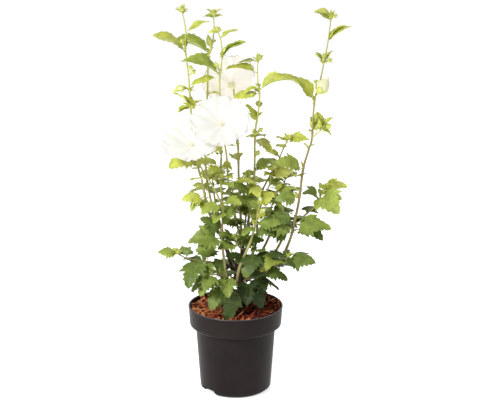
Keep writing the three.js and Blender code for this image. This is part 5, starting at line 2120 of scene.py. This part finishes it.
    def crown(self, limb: Limb) -> None:
        """Adds the growing tip of a shoot: a tuft of narrow new leaves round three small buds.

        Args:
            limb: The shoot.
        """
        last = len(limb.via) - 1
        self.tuft(limb, last, self.crown_size)
        tip = line_at(limb.via, last)
        start = self.rng.uniform(0, 360)
        for k in range(self.crown_buds):
            row = (0, start + 144 * k, 70 - 14 * k, 2.0, 8.0 - k)
            self.buds.bud(tip, row, BudKind.GREEN, 1)

    def build(self) -> list[bpy.types.Object]:
        """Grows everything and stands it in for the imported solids.

        Returns:
            The pieces.
        """
        self.woodwork.limb(TRUNK, *self.trunk_bark, 0, self.woodwork.old)
        for name, bough in BOUGHS.items():
            self.woodwork.limb(bough, *self.bough_bark, self.paleness.get(name, 0), self.woodwork.old)
        for name, twig in FLOWERING_TWIGS.items():
            self.grow(name, twig)
            self.blossom.flower(np.array(twig.via[-1], float), twig.face, twig.radius)
        for name, shoot in SHOOTS.items():
            self.grow(name, shoot)
        old, stems = self.woodwork.pieces()
        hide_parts("trunk", *BOUGHS)
        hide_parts(*SHOOTS, *FLOWERING_TWIGS)
        blades, stalks = self.foliage.pieces()
        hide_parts(*SHOOTS)
        buds = self.buds.pieces()
        petals, columns, calyxes = self.blossom.pieces()
        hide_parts(*FLOWERING_TWIGS)
        return [old, stems, blades, stalks, *buds, petals, columns, calyxes]


# ---- studio


@dataclass
class Studio:
    """A plain pale floor, soft light all round, three lamps and the camera, in metres."""

    eye: tuple[float, float, float] = (0.0, -3.0, 1.245)
    aim: tuple[float, float, float] = (0.0, 0.0, 0.455)
    lens: float = 113.53
    sensor: float = 36
    shift: tuple[float, float] = (0.0288, -0.0603)
    sky: float = 0.35
    floor_radii: Row = (0.2, 2.0, 9.0)
    floor_sides: int = 64
    # Name, place, power and side of each lamp.
    lamps: tuple[tuple[str, Row, float, float], ...] = (
        ("key_lamp", (-1.7, -1.7, 2.4), 80, 1.0),
        ("side_lamp", (2.0, -0.6, 1.6), 3, 1.0),
        ("back_lamp", (0.4, 2.2, 2.2), 16, 1.2),
    )

    def floor(self) -> None:
        """A wide flat disc under the pot: rings of quads round a fan in the middle."""
        angle = TURN * np.arange(self.floor_sides) / self.floor_sides
        rings = turned(np.array(self.floor_radii)[:, None], angle, 0.0)
        points = np.concatenate([rings.reshape(-1, 3), np.zeros((1, 3))])
        disc = net(len(rings), self.floor_sides, closed=True)[:, ::-1].tolist()
        first = np.append(np.arange(self.floor_sides), 0)
        middle = fan(first[::-1], len(points) - 1)[:, 2::-1].tolist()
        mesh = bpy.data.meshes.new("floor")
        mesh.from_pydata(points.tolist(), [], disc + middle)
        mesh.materials.append(FLOOR.material())
        floor = bpy.data.objects.new("floor", mesh)
        bpy.context.scene.collection.objects.link(floor)

    def stand(self, name: str, data: bpy.types.ID, spot: Row) -> bpy.types.Object:
        """Stands a lamp or a camera at a place, turned to the plant.

        Args:
            name: Its name.
            data: The light or the camera.
            spot: Its place.

        Returns:
            The object.
        """
        stood = bpy.data.objects.new(name, data)
        stood.location = spot
        stood.rotation_euler = (Vector(self.aim) - Vector(spot)).to_track_quat("-Z", "Y").to_euler()
        bpy.context.scene.collection.objects.link(stood)
        return stood

    def build(self) -> None:
        """Sets up floor, lights and camera."""
        self.floor()
        for name, spot, power, size in self.lamps:
            light = bpy.data.lights.new(name, "AREA")
            light.energy = power
            light.size = size
            self.stand(name, light, spot)
        world = bpy.data.worlds.new("studio")
        world.use_nodes = True
        sky = world.node_tree.nodes["Background"]
        sky.inputs["Color"].default_value = (1, 1, 1, 1)
        sky.inputs["Strength"].default_value = self.sky
        scene = bpy.context.scene
        scene.world = world
        scene.view_settings.view_transform = "Standard"
        lens = bpy.data.cameras.new("camera")
        lens.lens = self.lens
        lens.sensor_width = self.sensor
        lens.shift_x, lens.shift_y = self.shift
        scene.camera = self.stand("camera", lens, self.eye)


def main() -> None:
    """Builds the pot, the mulch, the plant and the studio."""
    logging.basicConfig(level=logging.INFO, format="%(message)s")
    mulch = Mulch()
    for piece in (Pot().piece(), mulch.bed(), mulch.litter(), *Shrub().build()):
        LOG.info("%s: %d points, %d faces", piece.name, len(piece.data.vertices), len(piece.data.polygons))
    Studio().build()


if __name__ == "__main__":
    main()
